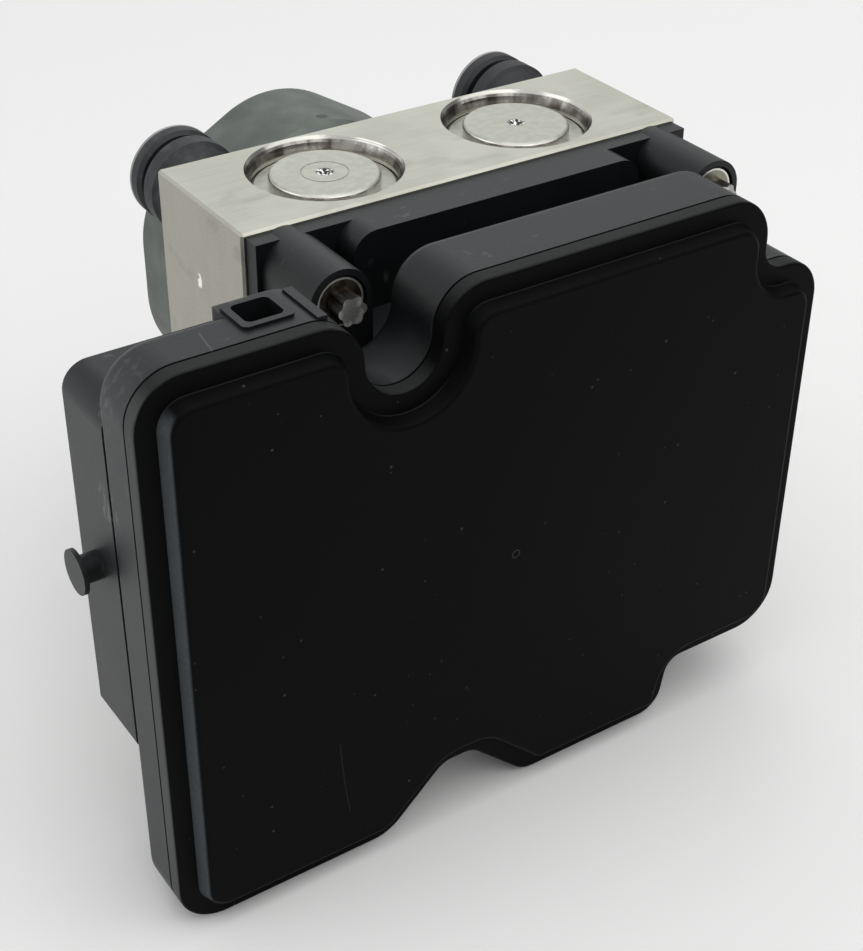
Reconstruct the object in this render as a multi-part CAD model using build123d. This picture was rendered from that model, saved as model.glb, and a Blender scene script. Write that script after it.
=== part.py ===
"""Anti-lock brake hydraulic unit: valve block, pump motor and bolted-on control unit.

Places are first measured from the block's front, top, left corner: x to the right along the block,
y back through it (so the control unit lies at negative y) and z up (so the block lies at negative z).
place() turns them into the part's own frame, whose origin lies midway between the two rubber mounts,
on their rear faces. Lengths are in millimetres and angles in degrees.
"""
from build123d import *
import math
import os

# Valve block
block_width = 102.0
block_depth = 34.0
block_height = 98.0
block_edge = 0.5
overrun = 1.0
fit_gap = 0.1
running_gap = 0.05
mating_gap = 0.3

# Accumulators in the block's top face
accumulator_from_side = 28.0
accumulator_from_front = 17.7
mouth_radius = 15.7
mouth_ledge_radius = 15.0
mouth_ledge_depth = 1.2
mouth_floor_radius = 14.3
mouth_depth = 3.4
cap_flange_thickness = 1.6
cap_flange_lip = 0.4
cap_disc_radius = 11.1
cap_disc_drop = 1.0
cap_edge_round = 0.8
cap_wall = 1.8
cap_ring_radius = 4.85
cap_ring_width = 0.3
cap_punch_radius = 1.3
cap_punch_depth = 0.9
accumulator_bore_radius = 10.5
accumulator_stroke = 7.0
accumulator_piston_length = 9.0
accumulator_piston_wall = 2.0
accumulator_piston_floor = 2.5
accumulator_seal_wire = 1.6
accumulator_seal_groove = 1.3
accumulator_port_radius = 1.5
accumulator_port_depth = 5.0
accumulator_spring_wire_radius = 0.9
accumulator_spring_turns = 3.5
wire_sides = 8

# Pump: two opposed pistons driven by an eccentric on the motor shaft
motor_drop = 46.8
pump_from_front = 17.0
cam_chamber_radius = 15.5
cam_chamber_floor = 8.0
nose_bush_radius = 6.5
nose_bush_length = 5.0
eccentricity = 1.0
journal_radius = 5.5
journal_length = 8.0
cam_ring_wall = 3.0
cam_ring_width = 7.0
cam_clearance = 0.15
pump_bore_radius = 3.5
pump_piston_length = 20.0
pump_collar_radius = 4.6
pump_collar_thickness = 1.5
pump_spring_bore_radius = 5.5
pump_spring_wire_radius = 0.5
pump_spring_turns = 3.5
plug_radius = 7.0
plug_length = 10.0
plug_drive_radius = 3.2
plug_drive_depth = 4.5
plug_cup_radius = 4.7
plug_cup_depth = 3.0

# Hydraulic ports, staggered in depth so that their cross drillings pass one another
wheel_port_radius = 4.5
wheel_port_depth = 12.0
wheel_port_stagger = 0.8
wheel_port_from_front = 23.0
wheel_port_spacing = 22.0
port_seat_depth = 1.2
port_seat_wall = 3.4
master_port_radius = 5.5
master_port_depth = 13.0
master_port_stagger = 0.8
master_port_inset = 16.0
master_port_from_bottom = 22.0

# Solenoid valves: four inlet and four outlet
valve_columns_count = 4
valve_from_side = 19.5
inlet_row_drop = 66.0
outlet_row_drop = 83.7
valve_seat_radius = 4.9
valve_seat_depth = 6.0
valve_body_radius = 3.9
valve_body_depth = 14.0
sleeve_radius = 3.6
sleeve_wall = 0.4
sleeve_reach = 17.0
armature_length = 13.0
armature_travel = 0.3
armature_pin_radius = 0.9
armature_pin_length = 6.0
valve_passage_radius = 1.3
coil_side_gap = 0.25
coil_length = 16.0
coil_flange = 1.5
coil_groove = 1.2
coil_standoff = 2.0
coil_gap = 0.2
coil_room_gap = 0.5
terminal_width = 0.8
terminal_offset = 5.0

# Motor
motor_flat_radius = 34.8
motor_neck_step = 1.3
motor_corner_radius = 23.4
motor_length = 47.9
motor_neck_length = 23.0
motor_step_length = 2.0
motor_wall = 2.0
motor_rim_round = 1.5
pocket_radius = 9.0
pocket_length = 4.5
ear_reach = 41.5
ear_radius = 6.0
ear_thickness = 2.5
ear_angles = (0.0, 180.0, 270.0)
motor_screw_radius = 2.5
motor_screw_head_radius = 4.3
motor_screw_head_height = 3.4
motor_screw_end_wall = 2.0
hex_key_share = 0.55
pilot_radius = 25.0
pilot_depth = 3.0
end_plate_thickness = 3.0
end_plate_gap = 0.2
motor_seal_radius = 28.6
motor_seal_wire_radius = 0.9
shaft_radius = 4.0
shaft_end_gap = 0.6
front_bush_radius = 8.5
rear_bush_length = 6.0
magnet_count = 6
magnet_thickness = 4.4
magnet_arc = 46.0
air_gap = 0.7
core_slots = 10
core_slot_width = 3.2
core_slot_depth = 9.0
winding_overhang = 3.5
winding_inner_radius = 11.0
commutator_radius = 9.5
commutator_length = 9.5
segment_gap = 0.6
segment_gap_depth = 1.2
brush_width = 5.0
brush_height = 6.0
brush_length = 11.0
brush_carrier_thickness = 2.5
brush_carrier_from_seat = 9.5
brush_box_wall = 1.0
motor_plug_drop = 24.0
motor_plug_radius = 3.8
motor_pin_radius = 0.8
motor_pin_spacing = 3.6
motor_plug_reach = 3.0

# Rubber mounts on the block's rear face
mount_inset = 11.5
mount_drop = 9.5
mount_reach = 17.0
mount_radius = 9.9
mount_washer = 0.7
mount_flange = 3.2
mount_groove = 1.7
mount_groove_radius = 7.2
mount_body = 5.2
mount_body_round = 0.8
mount_neck_radius = 7.4
mount_neck_length = 2.6
insert_radius = 4.8
insert_bore_radius = 2.5
insert_bore_depth = 12.0
stud_radius = 2.9
stud_length = 11.0

# Control unit outline, seen from the front
ecu_left_reach = 41.85
ecu_right_reach = 3.9
ecu_top_rise = 2.3
ecu_below_neck = 22.5
corner_top_left = 9.4
corner_bottom_left = 9.6
corner_bottom_right = 10.0
screw_left_inset = 8.4
screw_right_inset = 7.2
screw_drop = 6.8
notch_radius = 7.8
notch_left_shoulder = 9.1
notch_right_shoulder = 9.0
cut_width = 15.0
cut_depth = 16.9
cut_shoulder = 10.0
cut_valley = 4.8
cut_corner = 9.0
foot_width = 35.5
foot_rise = 12.5
foot_draft = 2.2
foot_inner_corner = 4.0
foot_outer_corner = 6.0
valley_width = 33.5
valley_peak_width = 7.0
valley_peak_radius = 5.0
valley_right_corner = 6.0
valley_left_corner = 9.0
valley_centre = 21.2

# Control unit housing
cover_front = 41.5
cover_edge = 3.2
cover_gap = 0.5
cover_gap_depth = 0.8
cover_edge_round = 0.6
cover_wall = 2.0
rim_width = 4.0
plateau_rise = 3.0
plateau_draft = 1.0
plateau_round = 1.0
tray_rear_left = 27.6
tray_rear_right = 23.0
tray_rear_round = 2.5
tray_wall = 2.4
tray_floor = 2.4
smallest_corner = 0.3
rib_width = 1.8
rib_from_notch = 5.0
rib_rise = 0.2
rib_root = 3.0
rib_rear = 26.0
board_gap = 0.6
board_drop = 36.0
board_thickness = 1.6
board_post_radius = 2.6
plate_thickness = 3.8
plate_inset = 0.8
band_front = 10.1
band_drop = 0.6
band_inset = 17.5
band_corner = 5.0
neck_drop = 16.5
neck_inset = 8.6
neck_wall = 2.2
neck_corner = 9.0
boss_radius = 6.5
boss_reach = 20.7
boss_recess_radius = 5.3
boss_recess_depth = 1.4
sleeve_outer_radius = 3.9
screw_radius = 2.5
screw_depth = 11.0
screw_flange_radius = 4.75
screw_flange_thickness = 1.1
screw_head_radius = 2.95
screw_head_height = 4.2
screw_lobes = 6
screw_lobe_share = 0.17
rear_screw_inset = 7.0
rear_screw_from_bottom = 6.0
rear_boss_radius = 5.0
rear_screw_head_depth = 5.0
rear_screw_thread_depth = 13.0
chip_size = 20.0
chip_height = 1.8
chip_places_share = ((0.25, 0.3), (0.45, 0.62), (0.72, 0.4), (0.22, 0.68))
gasket_width = 1.4
gasket_thickness = 1.0

# Connector shroud and its lever pivot
shroud_drop = 7.3
shroud_bottom = 80.5
shroud_rear = 13.3
shroud_right_gap = 6.0
shroud_wall = 2.2
shroud_corner = 5.0
shroud_lower_corner = 1.5
peg_radius = 2.7
peg_length = 3.6
peg_head_radius = 4.3
peg_head_thickness = 0.9
pin_rows = 3
pin_columns = 12
pin_width = 0.7
pin_pitch = 4.0
pin_row_pitch = 6.0
pin_reach = 9.0
blade_count = 4
blade_width = 3.0
blade_thickness = 0.8
blade_pitch = 5.0

# Rectangular socket in the top of the tray
socket_right_gap = 8.6
socket_width = 9.8
socket_front = 35.2
socket_depth_size = 9.2
socket_wall = 1.3
socket_lip = 0.6
socket_depth = 8.5
socket_corner = 1.2


def place(x, y, z):
    """Part coordinates of a point measured from the block's front, top, left corner."""
    return Vector(x - block_width / 2, y - block_depth - mount_reach, z + mount_drop)


def rod(radius, start, end):
    """Round bar between two measured points."""
    low, high = place(*start), place(*end)
    return extrude(Plane(origin=low, z_dir=high - low) * Circle(radius), (high - low).length)


def slab(low, high):
    """Square-cornered block between two measured corners."""
    a, b = place(*low), place(*high)
    size = b - a
    return Pos(*((a + b) / 2)) * Box(size.X, size.Y, size.Z)


def front_plane(y):
    """Plane facing the viewer at a measured depth, drawn on in measured x and z."""
    return Plane(origin=place(0, y, 0), x_dir=(1, 0, 0), z_dir=(0, -1, 0))


def prism(sketch, rear, front):
    """Solid of a sketch in measured x and z, from a rear depth forward to a front depth."""
    return extrude(front_plane(rear) * sketch, rear - front)


def turned(points, x, y, z, axis):
    """Solid of revolution about an axis through a measured point.

    The points are pairs of radius and height along the axis.
    """
    profile = make_face(Plane.XZ * Polyline(*points, close=True))
    body = revolve(profile, Axis.Z)
    return Plane(origin=place(x, y, z), z_dir=axis) * body


def outline(points, radii):
    """Closed face of straight edges joined by arcs, one radius for each point."""
    return make_face(FilletPolyline(*points, radius=radii, close=True))


def rounded_box(left, right, bottom, top, radius):
    """Face of a rectangle in measured x and z with equal round corners."""
    corners = [(left, bottom), (right, bottom), (right, top), (left, top)]
    return outline(corners, [radius] * len(corners))


def coil_spring(radius, wire_radius, length, turns, x, y, z, axis):
    """Helical spring that starts at a measured point."""
    free = length - 2 * wire_radius
    path = Helix(pitch=free / turns, height=free, radius=radius)
    section = Plane(origin=path @ 0, z_dir=path % 0) * RegularPolygon(wire_radius, wire_sides)
    coil = Pos(0, 0, wire_radius) * sweep(section, path=path, is_frenet=True)
    return Plane(origin=place(x, y, z), z_dir=axis) * coil


centre_x = block_width / 2
accumulator_places = {
    "left": accumulator_from_side,
    "right": block_width - accumulator_from_side,
}
sides = {"left": -1, "right": 1}
nodes = {}

# Heights in the accumulator bores, below the block's top
cap_flange_radius = mouth_floor_radius - cap_flange_lip
cap_seat_drop = mouth_depth + cap_flange_thickness
piston_top_drop = cap_seat_drop + accumulator_stroke + mating_gap
piston_base_drop = piston_top_drop + accumulator_piston_length
accumulator_floor_drop = piston_base_drop + mating_gap

# Places along the pump's axis, outward from the motor axis
cam_ring_radius = journal_radius + running_gap + cam_ring_wall
piston_tip = cam_ring_radius + eccentricity + cam_clearance
piston_end = piston_tip + pump_piston_length
spring_bore_start = piston_end - pump_collar_thickness - mating_gap
plug_face = centre_x - plug_length

# The motor's screws end this far behind the pump plugs
motor_screw_depth = block_depth + ear_thickness - pump_from_front - plug_radius - motor_screw_end_wall

# Valve columns and the coils that just fit between them
valve_spacing = (block_width - 2 * valve_from_side) / (valve_columns_count - 1)
coil_radius = min(valve_spacing, outlet_row_drop - inlet_row_drop) / 2 - coil_side_gap
neck_bottom = outlet_row_drop + coil_radius + coil_room_gap + neck_wall

# Depths of the control unit, in front of the block
cover_back = -(cover_front - cover_edge)
cover_face = -cover_front
board_front = -(board_drop + board_thickness)
floor_front_left = -(tray_rear_left + tray_floor)
floor_front_right = -(tray_rear_right + tray_floor)
ecu_left = -ecu_left_reach
ecu_right = block_width + ecu_right_reach
ecu_drop = neck_bottom + ecu_below_neck
ecu_bottom = -ecu_drop
screw_places = [screw_left_inset, block_width - screw_right_inset]
rear_screw_places = [rear_screw_inset, block_width - rear_screw_inset]
rear_screw_drop = block_height - rear_screw_from_bottom

valve_columns = [valve_from_side + valve_spacing * n for n in range(valve_columns_count)]
valve_places = {}
for kind, row_drop in (("inlet", inlet_row_drop), ("outlet", outlet_row_drop)):
    for number, column in enumerate(valve_columns, 1):
        valve_places[kind, number] = (column, -row_drop)

wheel_port_places = [centre_x + wheel_port_spacing * step for step in (-1.5, -0.5, 0.5, 1.5)]
ear_places = [
    (centre_x + ear_reach * math.cos(math.radians(a)), -motor_drop + ear_reach * math.sin(math.radians(a)))
    for a in ear_angles
]
mount_places = {"left": mount_inset, "right": block_width - mount_inset}


def make_valve_block():
    """Aluminium block with every bore that the visible and inner pieces need."""
    body = slab((0, 0, -block_height), (block_width, block_depth, 0))
    body = chamfer(body.edges(), block_edge)
    for x in accumulator_places.values():
        body -= turned(
            [
                (0, overrun),
                (mouth_radius, overrun),
                (mouth_radius, 0),
                (mouth_ledge_radius, -mouth_ledge_depth),
                (mouth_floor_radius, -mouth_depth),
                (mouth_floor_radius, -cap_seat_drop),
                (accumulator_bore_radius, -cap_seat_drop),
                (accumulator_bore_radius, -accumulator_floor_drop),
                (accumulator_port_radius, -accumulator_floor_drop),
                (accumulator_port_radius, -accumulator_floor_drop - accumulator_port_depth),
                (0, -accumulator_floor_drop - accumulator_port_depth),
            ],
            x, accumulator_from_front, 0, (0, 0, 1),
        )
    axis_z = -motor_drop
    body -= rod(cam_chamber_radius, (centre_x, cam_chamber_floor, axis_z), (centre_x, block_depth + overrun, axis_z))
    body -= rod(pilot_radius, (centre_x, block_depth - pilot_depth, axis_z), (centre_x, block_depth + overrun, axis_z))
    body -= rod(
        nose_bush_radius,
        (centre_x, cam_chamber_floor - nose_bush_length, axis_z),
        (centre_x, cam_chamber_floor + overrun, axis_z),
    )
    seal_outer = motor_seal_radius + motor_seal_wire_radius
    seal_inner = motor_seal_radius - motor_seal_wire_radius
    groove = Circle(seal_outer + fit_gap) - Circle(seal_inner - fit_gap)
    body -= prism(Pos(centre_x, axis_z) * groove, block_depth + overrun, block_depth - 2 * motor_seal_wire_radius)
    for side in sides.values():
        body -= make_pump_bore(side)
    for x, z in valve_places.values():
        body -= rod(valve_seat_radius, (x, -overrun, z), (x, valve_seat_depth, z))
        body -= rod(valve_body_radius + fit_gap, (x, -overrun, z), (x, valve_body_depth + mating_gap, z))
    for n, x in enumerate(wheel_port_places):
        seat = wheel_port_radius + port_seat_wall
        end = wheel_port_depth + n * wheel_port_stagger - block_height
        body -= rod(wheel_port_radius, (x, wheel_port_from_front, -block_height - overrun),
                    (x, wheel_port_from_front, end))
        body -= rod(seat, (x, wheel_port_from_front, -block_height - overrun),
                    (x, wheel_port_from_front, port_seat_depth - block_height))
    for n, x in enumerate((master_port_inset, block_width - master_port_inset)):
        z = master_port_from_bottom - block_height
        end = block_depth - master_port_depth - n * master_port_stagger
        body -= rod(master_port_radius, (x, end, z), (x, block_depth + overrun, z))
        body -= rod(master_port_radius + port_seat_wall, (x, block_depth - port_seat_depth, z),
                    (x, block_depth + overrun, z))
    for x in screw_places:
        body -= rod(screw_radius + fit_gap, (x, -overrun, -screw_drop), (x, screw_depth + overrun, -screw_drop))
    for x in rear_screw_places:
        body -= rod(screw_radius + fit_gap, (x, -overrun, -rear_screw_drop),
                    (x, block_depth + overrun, -rear_screw_drop))
        body -= rod(screw_flange_radius + fit_gap, (x, block_depth - rear_screw_head_depth, -rear_screw_drop),
                    (x, block_depth + overrun, -rear_screw_drop))
    for x, z in ear_places:
        body -= rod(motor_screw_radius + fit_gap, (x, block_depth + ear_thickness - motor_screw_depth - mating_gap, z),
                    (x, block_depth + overrun, z))
    for x in mount_places.values():
        body -= rod(stud_radius + fit_gap, (x, block_depth - stud_length - overrun, -mount_drop),
                    (x, block_depth + overrun, -mount_drop))
    body -= rod(motor_plug_radius + fit_gap, (centre_x, -overrun, -motor_plug_drop),
                (centre_x, block_depth + overrun, -motor_plug_drop))
    return body


def make_pump_bore(side):
    """Stepped bore of one pump element, from the cam chamber out to the block's side face."""
    def along(distance):
        return (centre_x + side * distance, pump_from_front, -motor_drop)

    bore = rod(pump_bore_radius + running_gap, along(cam_chamber_radius - overrun), along(spring_bore_start + overrun))
    bore += rod(pump_spring_bore_radius, along(spring_bore_start), along(plug_face + overrun))
    bore += rod(plug_radius, along(plug_face), along(centre_x + overrun))
    return bore


def make_accumulator_cap(x, ringed):
    """Aluminium cup pressed into the accumulator bore, with a raised disc in the middle."""
    disc_floor = cap_disc_drop + cap_wall
    cap = turned(
        [
            (0, -cap_disc_drop),
            (cap_disc_radius, -cap_disc_drop),
            (cap_disc_radius, -mouth_depth),
            (cap_flange_radius, -mouth_depth),
            (cap_flange_radius, -cap_seat_drop),
            (cap_disc_radius - cap_wall, -cap_seat_drop),
            (cap_disc_radius - cap_wall, -disc_floor),
            (0, -disc_floor),
        ],
        x, accumulator_from_front, 0, (0, 0, 1),
    )
    rim = cap.edges().filter_by(GeomType.CIRCLE).group_by(Axis.Z)[-1]
    cap = fillet(rim, cap_edge_round)
    cap -= turned(
        [
            (0, overrun - cap_disc_drop),
            (cap_punch_radius, overrun - cap_disc_drop),
            (cap_punch_radius, -cap_disc_drop),
            (0, -cap_disc_drop - cap_punch_depth),
        ],
        x, accumulator_from_front, 0, (0, 0, 1),
    )
    if ringed:
        ring = Circle(cap_ring_radius) - Circle(cap_ring_radius - cap_ring_width)
        plane = Plane(origin=place(x, accumulator_from_front, -cap_disc_drop))
        cap -= extrude(plane * ring, -cap_ring_width)
    return cap


def make_accumulator_piston(x):
    """Cup that slides up against its spring, with a groove for the seal."""
    radius = accumulator_bore_radius - running_gap
    groove_middle = piston_base_drop - accumulator_piston_length / 2
    groove_half = accumulator_seal_wire / 2 + fit_gap
    return turned(
        [
            (0, -piston_base_drop),
            (radius, -piston_base_drop),
            (radius, -groove_middle - groove_half),
            (radius - accumulator_seal_groove, -groove_middle - groove_half),
            (radius - accumulator_seal_groove, -groove_middle + groove_half),
            (radius, -groove_middle + groove_half),
            (radius, -piston_top_drop),
            (radius - accumulator_piston_wall, -piston_top_drop),
            (radius - accumulator_piston_wall, -piston_base_drop + accumulator_piston_floor),
            (0, -piston_base_drop + accumulator_piston_floor),
        ],
        x, accumulator_from_front, 0, (0, 0, 1),
    )


def make_accumulator_seal(x):
    """Rubber ring in the piston's groove, shown squeezed to the bore."""
    outer = accumulator_bore_radius - running_gap
    inner = outer - accumulator_seal_groove + fit_gap
    middle = piston_base_drop - accumulator_piston_length / 2
    half = accumulator_seal_wire / 2
    corner = half / 2
    return turned(
        [
            (inner, -middle - half),
            (outer - corner, -middle - half),
            (outer, -middle - half + corner),
            (outer, -middle + half - corner),
            (outer - corner, -middle + half),
            (inner, -middle + half),
        ],
        x, accumulator_from_front, 0, (0, 0, 1),
    )


def make_accumulator_spring(x):
    """Spring between the piston's floor and the inside of the cap."""
    base = piston_base_drop - accumulator_piston_floor - fit_gap
    top = cap_disc_drop + cap_wall + fit_gap
    radius = accumulator_bore_radius - accumulator_piston_wall - accumulator_spring_wire_radius - mating_gap
    return coil_spring(radius, accumulator_spring_wire_radius, base - top, accumulator_spring_turns,
                       x, accumulator_from_front, -base, (0, 0, 1))


def pump_element(side, points):
    """Turned pump piece whose profile runs outward from the motor axis."""
    return turned(points, centre_x, pump_from_front, -motor_drop, (side, 0, 0))


def make_pump_piston(side):
    """Steel plunger with a spring collar at its outer end."""
    return pump_element(side, [
        (0, piston_tip),
        (pump_bore_radius, piston_tip),
        (pump_bore_radius, piston_end - pump_collar_thickness),
        (pump_collar_radius, piston_end - pump_collar_thickness),
        (pump_collar_radius, piston_end),
        (0, piston_end),
    ])


def make_pump_plug(side):
    """Pressed-in plug that closes the pump bore at the block's side face."""
    return pump_element(side, [
        (0, plug_face + plug_cup_depth),
        (plug_cup_radius, plug_face + plug_cup_depth),
        (plug_cup_radius, plug_face),
        (plug_radius, plug_face),
        (plug_radius, centre_x - block_edge),
        (plug_drive_radius, centre_x - block_edge),
        (plug_drive_radius, centre_x - plug_drive_depth),
        (0, centre_x - plug_drive_depth),
    ])


def make_pump_spring(side):
    """Return spring from the piston's collar to the plug."""
    start = piston_end + fit_gap
    end = plug_face + plug_cup_depth - fit_gap
    return coil_spring(pump_collar_radius - pump_spring_wire_radius, pump_spring_wire_radius, end - start,
                       pump_spring_turns, centre_x + side * start, pump_from_front, -motor_drop, (side, 0, 0))


def motor_point(depth):
    """Measured point on the motor axis at a depth behind the block's front face."""
    return (centre_x, depth, -motor_drop)


def can_face(inset, neck):
    """Rounded hexagon of the motor can, seen along the motor axis."""
    flat = motor_flat_radius - inset - (motor_neck_step if neck else 0)
    corner = motor_corner_radius - inset - (motor_neck_step if neck else 0)
    hexagon = RegularPolygon(flat, 6, major_radius=False, rotation=30)
    return Pos(centre_x, -motor_drop) * fillet(hexagon.vertices(), corner)


def can_form(inset, start, end):
    """Stepped form of the motor can between two depths: narrow at the block, wide behind."""
    neck_end = block_depth + motor_neck_length
    wide_start = neck_end + motor_step_length
    form = prism(can_face(inset, True), neck_end, start)
    form += loft([front_plane(neck_end) * can_face(inset, True), front_plane(wide_start) * can_face(inset, False)],
                 ruled=True)
    return form + prism(can_face(inset, False), end, wide_start)


def make_motor_can():
    """Deep-drawn steel can with three screw ears and a bearing pocket in its end."""
    end = block_depth + motor_length
    can = can_form(0, block_depth, end)
    rim = can.edges().group_by(Axis.Y)[-1]
    can = fillet(rim, motor_rim_round)
    can += rod(pocket_radius, motor_point(end - motor_wall), motor_point(end + pocket_length))
    for x, z in ear_places:
        can += rod(ear_radius, (x, block_depth, z), (x, block_depth + ear_thickness, z))
        ear_end = place(x, block_depth + ear_thickness / 2, z)
        ear_root = place(centre_x, block_depth + ear_thickness / 2, -motor_drop)
        arm = Box((ear_end - ear_root).length, ear_thickness, 2 * ear_radius)
        turn = math.degrees(math.atan2(ear_end.Z - ear_root.Z, ear_end.X - ear_root.X))
        can += Pos(*((ear_end + ear_root) / 2)) * Rot(0, -turn, 0) * arm
    can -= can_form(motor_wall, block_depth - overrun, end - motor_wall)
    can -= rod(pocket_radius - motor_wall, motor_point(end - motor_wall - overrun),
               motor_point(end + pocket_length - motor_wall))
    for x, z in ear_places:
        can -= rod(motor_screw_radius + fit_gap, (x, block_depth - overrun, z),
                   (x, block_depth + ear_thickness + overrun, z))
    return can


def make_end_plate():
    """Plate that closes the can and centres the motor in the block."""
    seat = block_depth + end_plate_gap
    plate = prism(can_face(motor_wall + fit_gap, True), seat + end_plate_thickness, seat)
    plate += rod(pilot_radius - fit_gap, motor_point(block_depth - pilot_depth + fit_gap), motor_point(seat + fit_gap))
    plate -= rod(front_bush_radius, motor_point(block_depth - pilot_depth - overrun),
                 motor_point(seat + end_plate_thickness + overrun))
    plug_hole = motor_plug_radius + fit_gap
    return plate - rod(plug_hole, (centre_x, block_depth - pilot_depth - overrun, -motor_plug_drop),
                       (centre_x, seat + end_plate_thickness + overrun, -motor_plug_drop))


def make_bush(radius, start, end):
    """Plain bearing round the motor shaft."""
    return rod(radius, motor_point(start), motor_point(end)) - rod(
        shaft_radius + running_gap, motor_point(start - overrun), motor_point(end + overrun))


def make_cam_ring():
    """Needle-bearing ring on the eccentric, which pushes the pump pistons."""
    lift = -motor_drop + eccentricity
    start = pump_from_front - cam_ring_width / 2
    end = pump_from_front + cam_ring_width / 2
    ring = rod(cam_ring_radius, (centre_x, start, lift), (centre_x, end, lift))
    return ring - rod(journal_radius + running_gap, (centre_x, start - overrun, lift), (centre_x, end + overrun, lift))


def make_magnets():
    """Arc magnets glued round the inside of the can."""
    outer = motor_flat_radius - motor_wall - fit_gap
    ring = Circle(outer) - Circle(outer - magnet_thickness)
    edge = 2 * outer
    half = math.radians(magnet_arc / 2)
    wedge = make_face(Polyline((0, 0), (edge * math.cos(half), -edge * math.sin(half)),
                               (edge * math.cos(half), edge * math.sin(half)), close=True))
    rear = block_depth + motor_length - motor_wall - mating_gap
    magnets = []
    for n in range(magnet_count):
        piece = Pos(centre_x, -motor_drop) * Rot(0, 0, 360 * n / magnet_count) * (ring & wedge)
        magnets.append(prism(piece, rear, magnet_front))
    return magnets


core_radius = motor_flat_radius - motor_wall - fit_gap - magnet_thickness - air_gap
carrier_start = block_depth + brush_carrier_from_seat
carrier_end = carrier_start + brush_carrier_thickness
brush_middle = carrier_end + fit_gap + brush_height / 2
commutator_front = brush_middle - commutator_length / 2
core_rear = block_depth + motor_length - motor_wall - winding_overhang - air_gap
core_front = commutator_front + commutator_length + mating_gap + winding_overhang
magnet_front = block_depth + motor_neck_length + motor_step_length + mating_gap
shaft_rear = block_depth + motor_length + pocket_length - motor_wall - shaft_end_gap
shaft_nose = cam_chamber_floor - nose_bush_length + shaft_end_gap


def make_shaft():
    """Ground shaft with the pump's eccentric journal in one piece."""
    shaft = rod(shaft_radius, motor_point(shaft_nose), motor_point(shaft_rear))
    journal_start = pump_from_front - journal_length / 2
    journal_end = pump_from_front + journal_length / 2
    lift = -motor_drop + eccentricity
    return shaft + rod(journal_radius, (centre_x, journal_start, lift), (centre_x, journal_end, lift))


def make_core():
    """Slotted lamination stack pressed on the shaft."""
    core = rod(core_radius, motor_point(core_front), motor_point(core_rear))
    core -= rod(shaft_radius, motor_point(core_front - overrun), motor_point(core_rear + overrun))
    for n in range(core_slots):
        slot = Pos(core_radius - core_slot_depth / 2 + overrun / 2, 0) * Rectangle(
            core_slot_depth + overrun, core_slot_width)
        slot = Pos(centre_x, -motor_drop) * Rot(0, 0, 360 * n / core_slots) * slot
        core -= prism(slot, core_rear + overrun, core_front - overrun)
    return core


def make_windings():
    """Copper coils: bars in the core's slots joined by a ring of wire at each end."""
    outer = core_radius - overrun
    bar_length = core_slot_depth - overrun
    ring = Circle(outer) - Circle(winding_inner_radius)
    ring = Pos(centre_x, -motor_drop) * ring
    windings = prism(ring, core_rear + winding_overhang, core_rear)
    windings += prism(ring, core_front, core_front - winding_overhang)
    for n in range(core_slots):
        bar = Pos(outer - bar_length / 2, 0) * Rectangle(bar_length, core_slot_width - 2 * fit_gap)
        bar = Pos(centre_x, -motor_drop) * Rot(0, 0, 360 * n / core_slots) * bar
        windings += prism(bar, core_rear, core_front)
    return windings


def make_commutator():
    """Copper segments on a hub that carry the current to the windings."""
    front = motor_point(commutator_front)
    rear = motor_point(commutator_front + commutator_length)
    commutator = rod(commutator_radius, front, rear)
    for n in range(core_slots):
        slot = Pos(commutator_radius, 0) * Rectangle(2 * segment_gap_depth, segment_gap)
        slot = Pos(centre_x, -motor_drop) * Rot(0, 0, 360 * (n + 1 / 2) / core_slots) * slot
        commutator -= prism(slot, commutator_front + commutator_length + overrun, commutator_front - overrun)
    return commutator - rod(shaft_radius, motor_point(commutator_front - overrun),
                            motor_point(commutator_front + commutator_length + overrun))


def brush_places():
    """Direction and inner distance of the two opposed brushes."""
    return [(side, commutator_radius + running_gap) for side in sides.values()]


def make_brushes():
    """Two carbon brushes on the commutator."""
    half = brush_height / 2
    brushes = []
    for side, inner in brush_places():
        ends = sorted((centre_x + side * inner, centre_x + side * (inner + brush_length)))
        brushes.append(slab((ends[0], brush_middle - half, -motor_drop - brush_width / 2),
                            (ends[1], brush_middle + half, -motor_drop + brush_width / 2)))
    return brushes


def make_brush_carrier():
    """Moulded disc with a box round each brush."""
    carrier = prism(can_face(motor_wall + fit_gap, True), carrier_end, carrier_start)
    wall = brush_box_wall + fit_gap
    half = brush_width / 2
    rear = brush_middle + brush_height / 2
    for side, inner in brush_places():
        ends = sorted((centre_x + side * (inner + overrun), centre_x + side * (inner + brush_length + wall)))
        carrier += slab((ends[0], carrier_start, -motor_drop - half - wall),
                        (ends[1], rear + wall, -motor_drop + half + wall))
    for side, inner in brush_places():
        ends = sorted((centre_x + side * (inner - overrun), centre_x + side * (inner + brush_length + fit_gap)))
        carrier -= slab((ends[0], carrier_end, -motor_drop - half - fit_gap),
                        (ends[1], rear + fit_gap, -motor_drop + half + fit_gap))
    hole = commutator_radius + mating_gap
    return carrier - rod(hole, motor_point(carrier_start - overrun), motor_point(carrier_end + overrun))


def make_motor_plug():
    """Moulded plug that carries two pins from the motor through the block to the board."""
    front = -(board_drop - board_gap)
    rear = block_depth + end_plate_gap + end_plate_thickness + motor_plug_reach
    plug_front = floor_front_right - mating_gap
    plug = rod(motor_plug_radius, (centre_x, plug_front, -motor_plug_drop), (centre_x, rear, -motor_plug_drop))
    for side in sides.values():
        x = centre_x + side * motor_pin_spacing / 2
        plug += rod(motor_pin_radius, (x, front, -motor_plug_drop), (x, rear + motor_plug_reach, -motor_plug_drop))
    return plug


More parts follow.
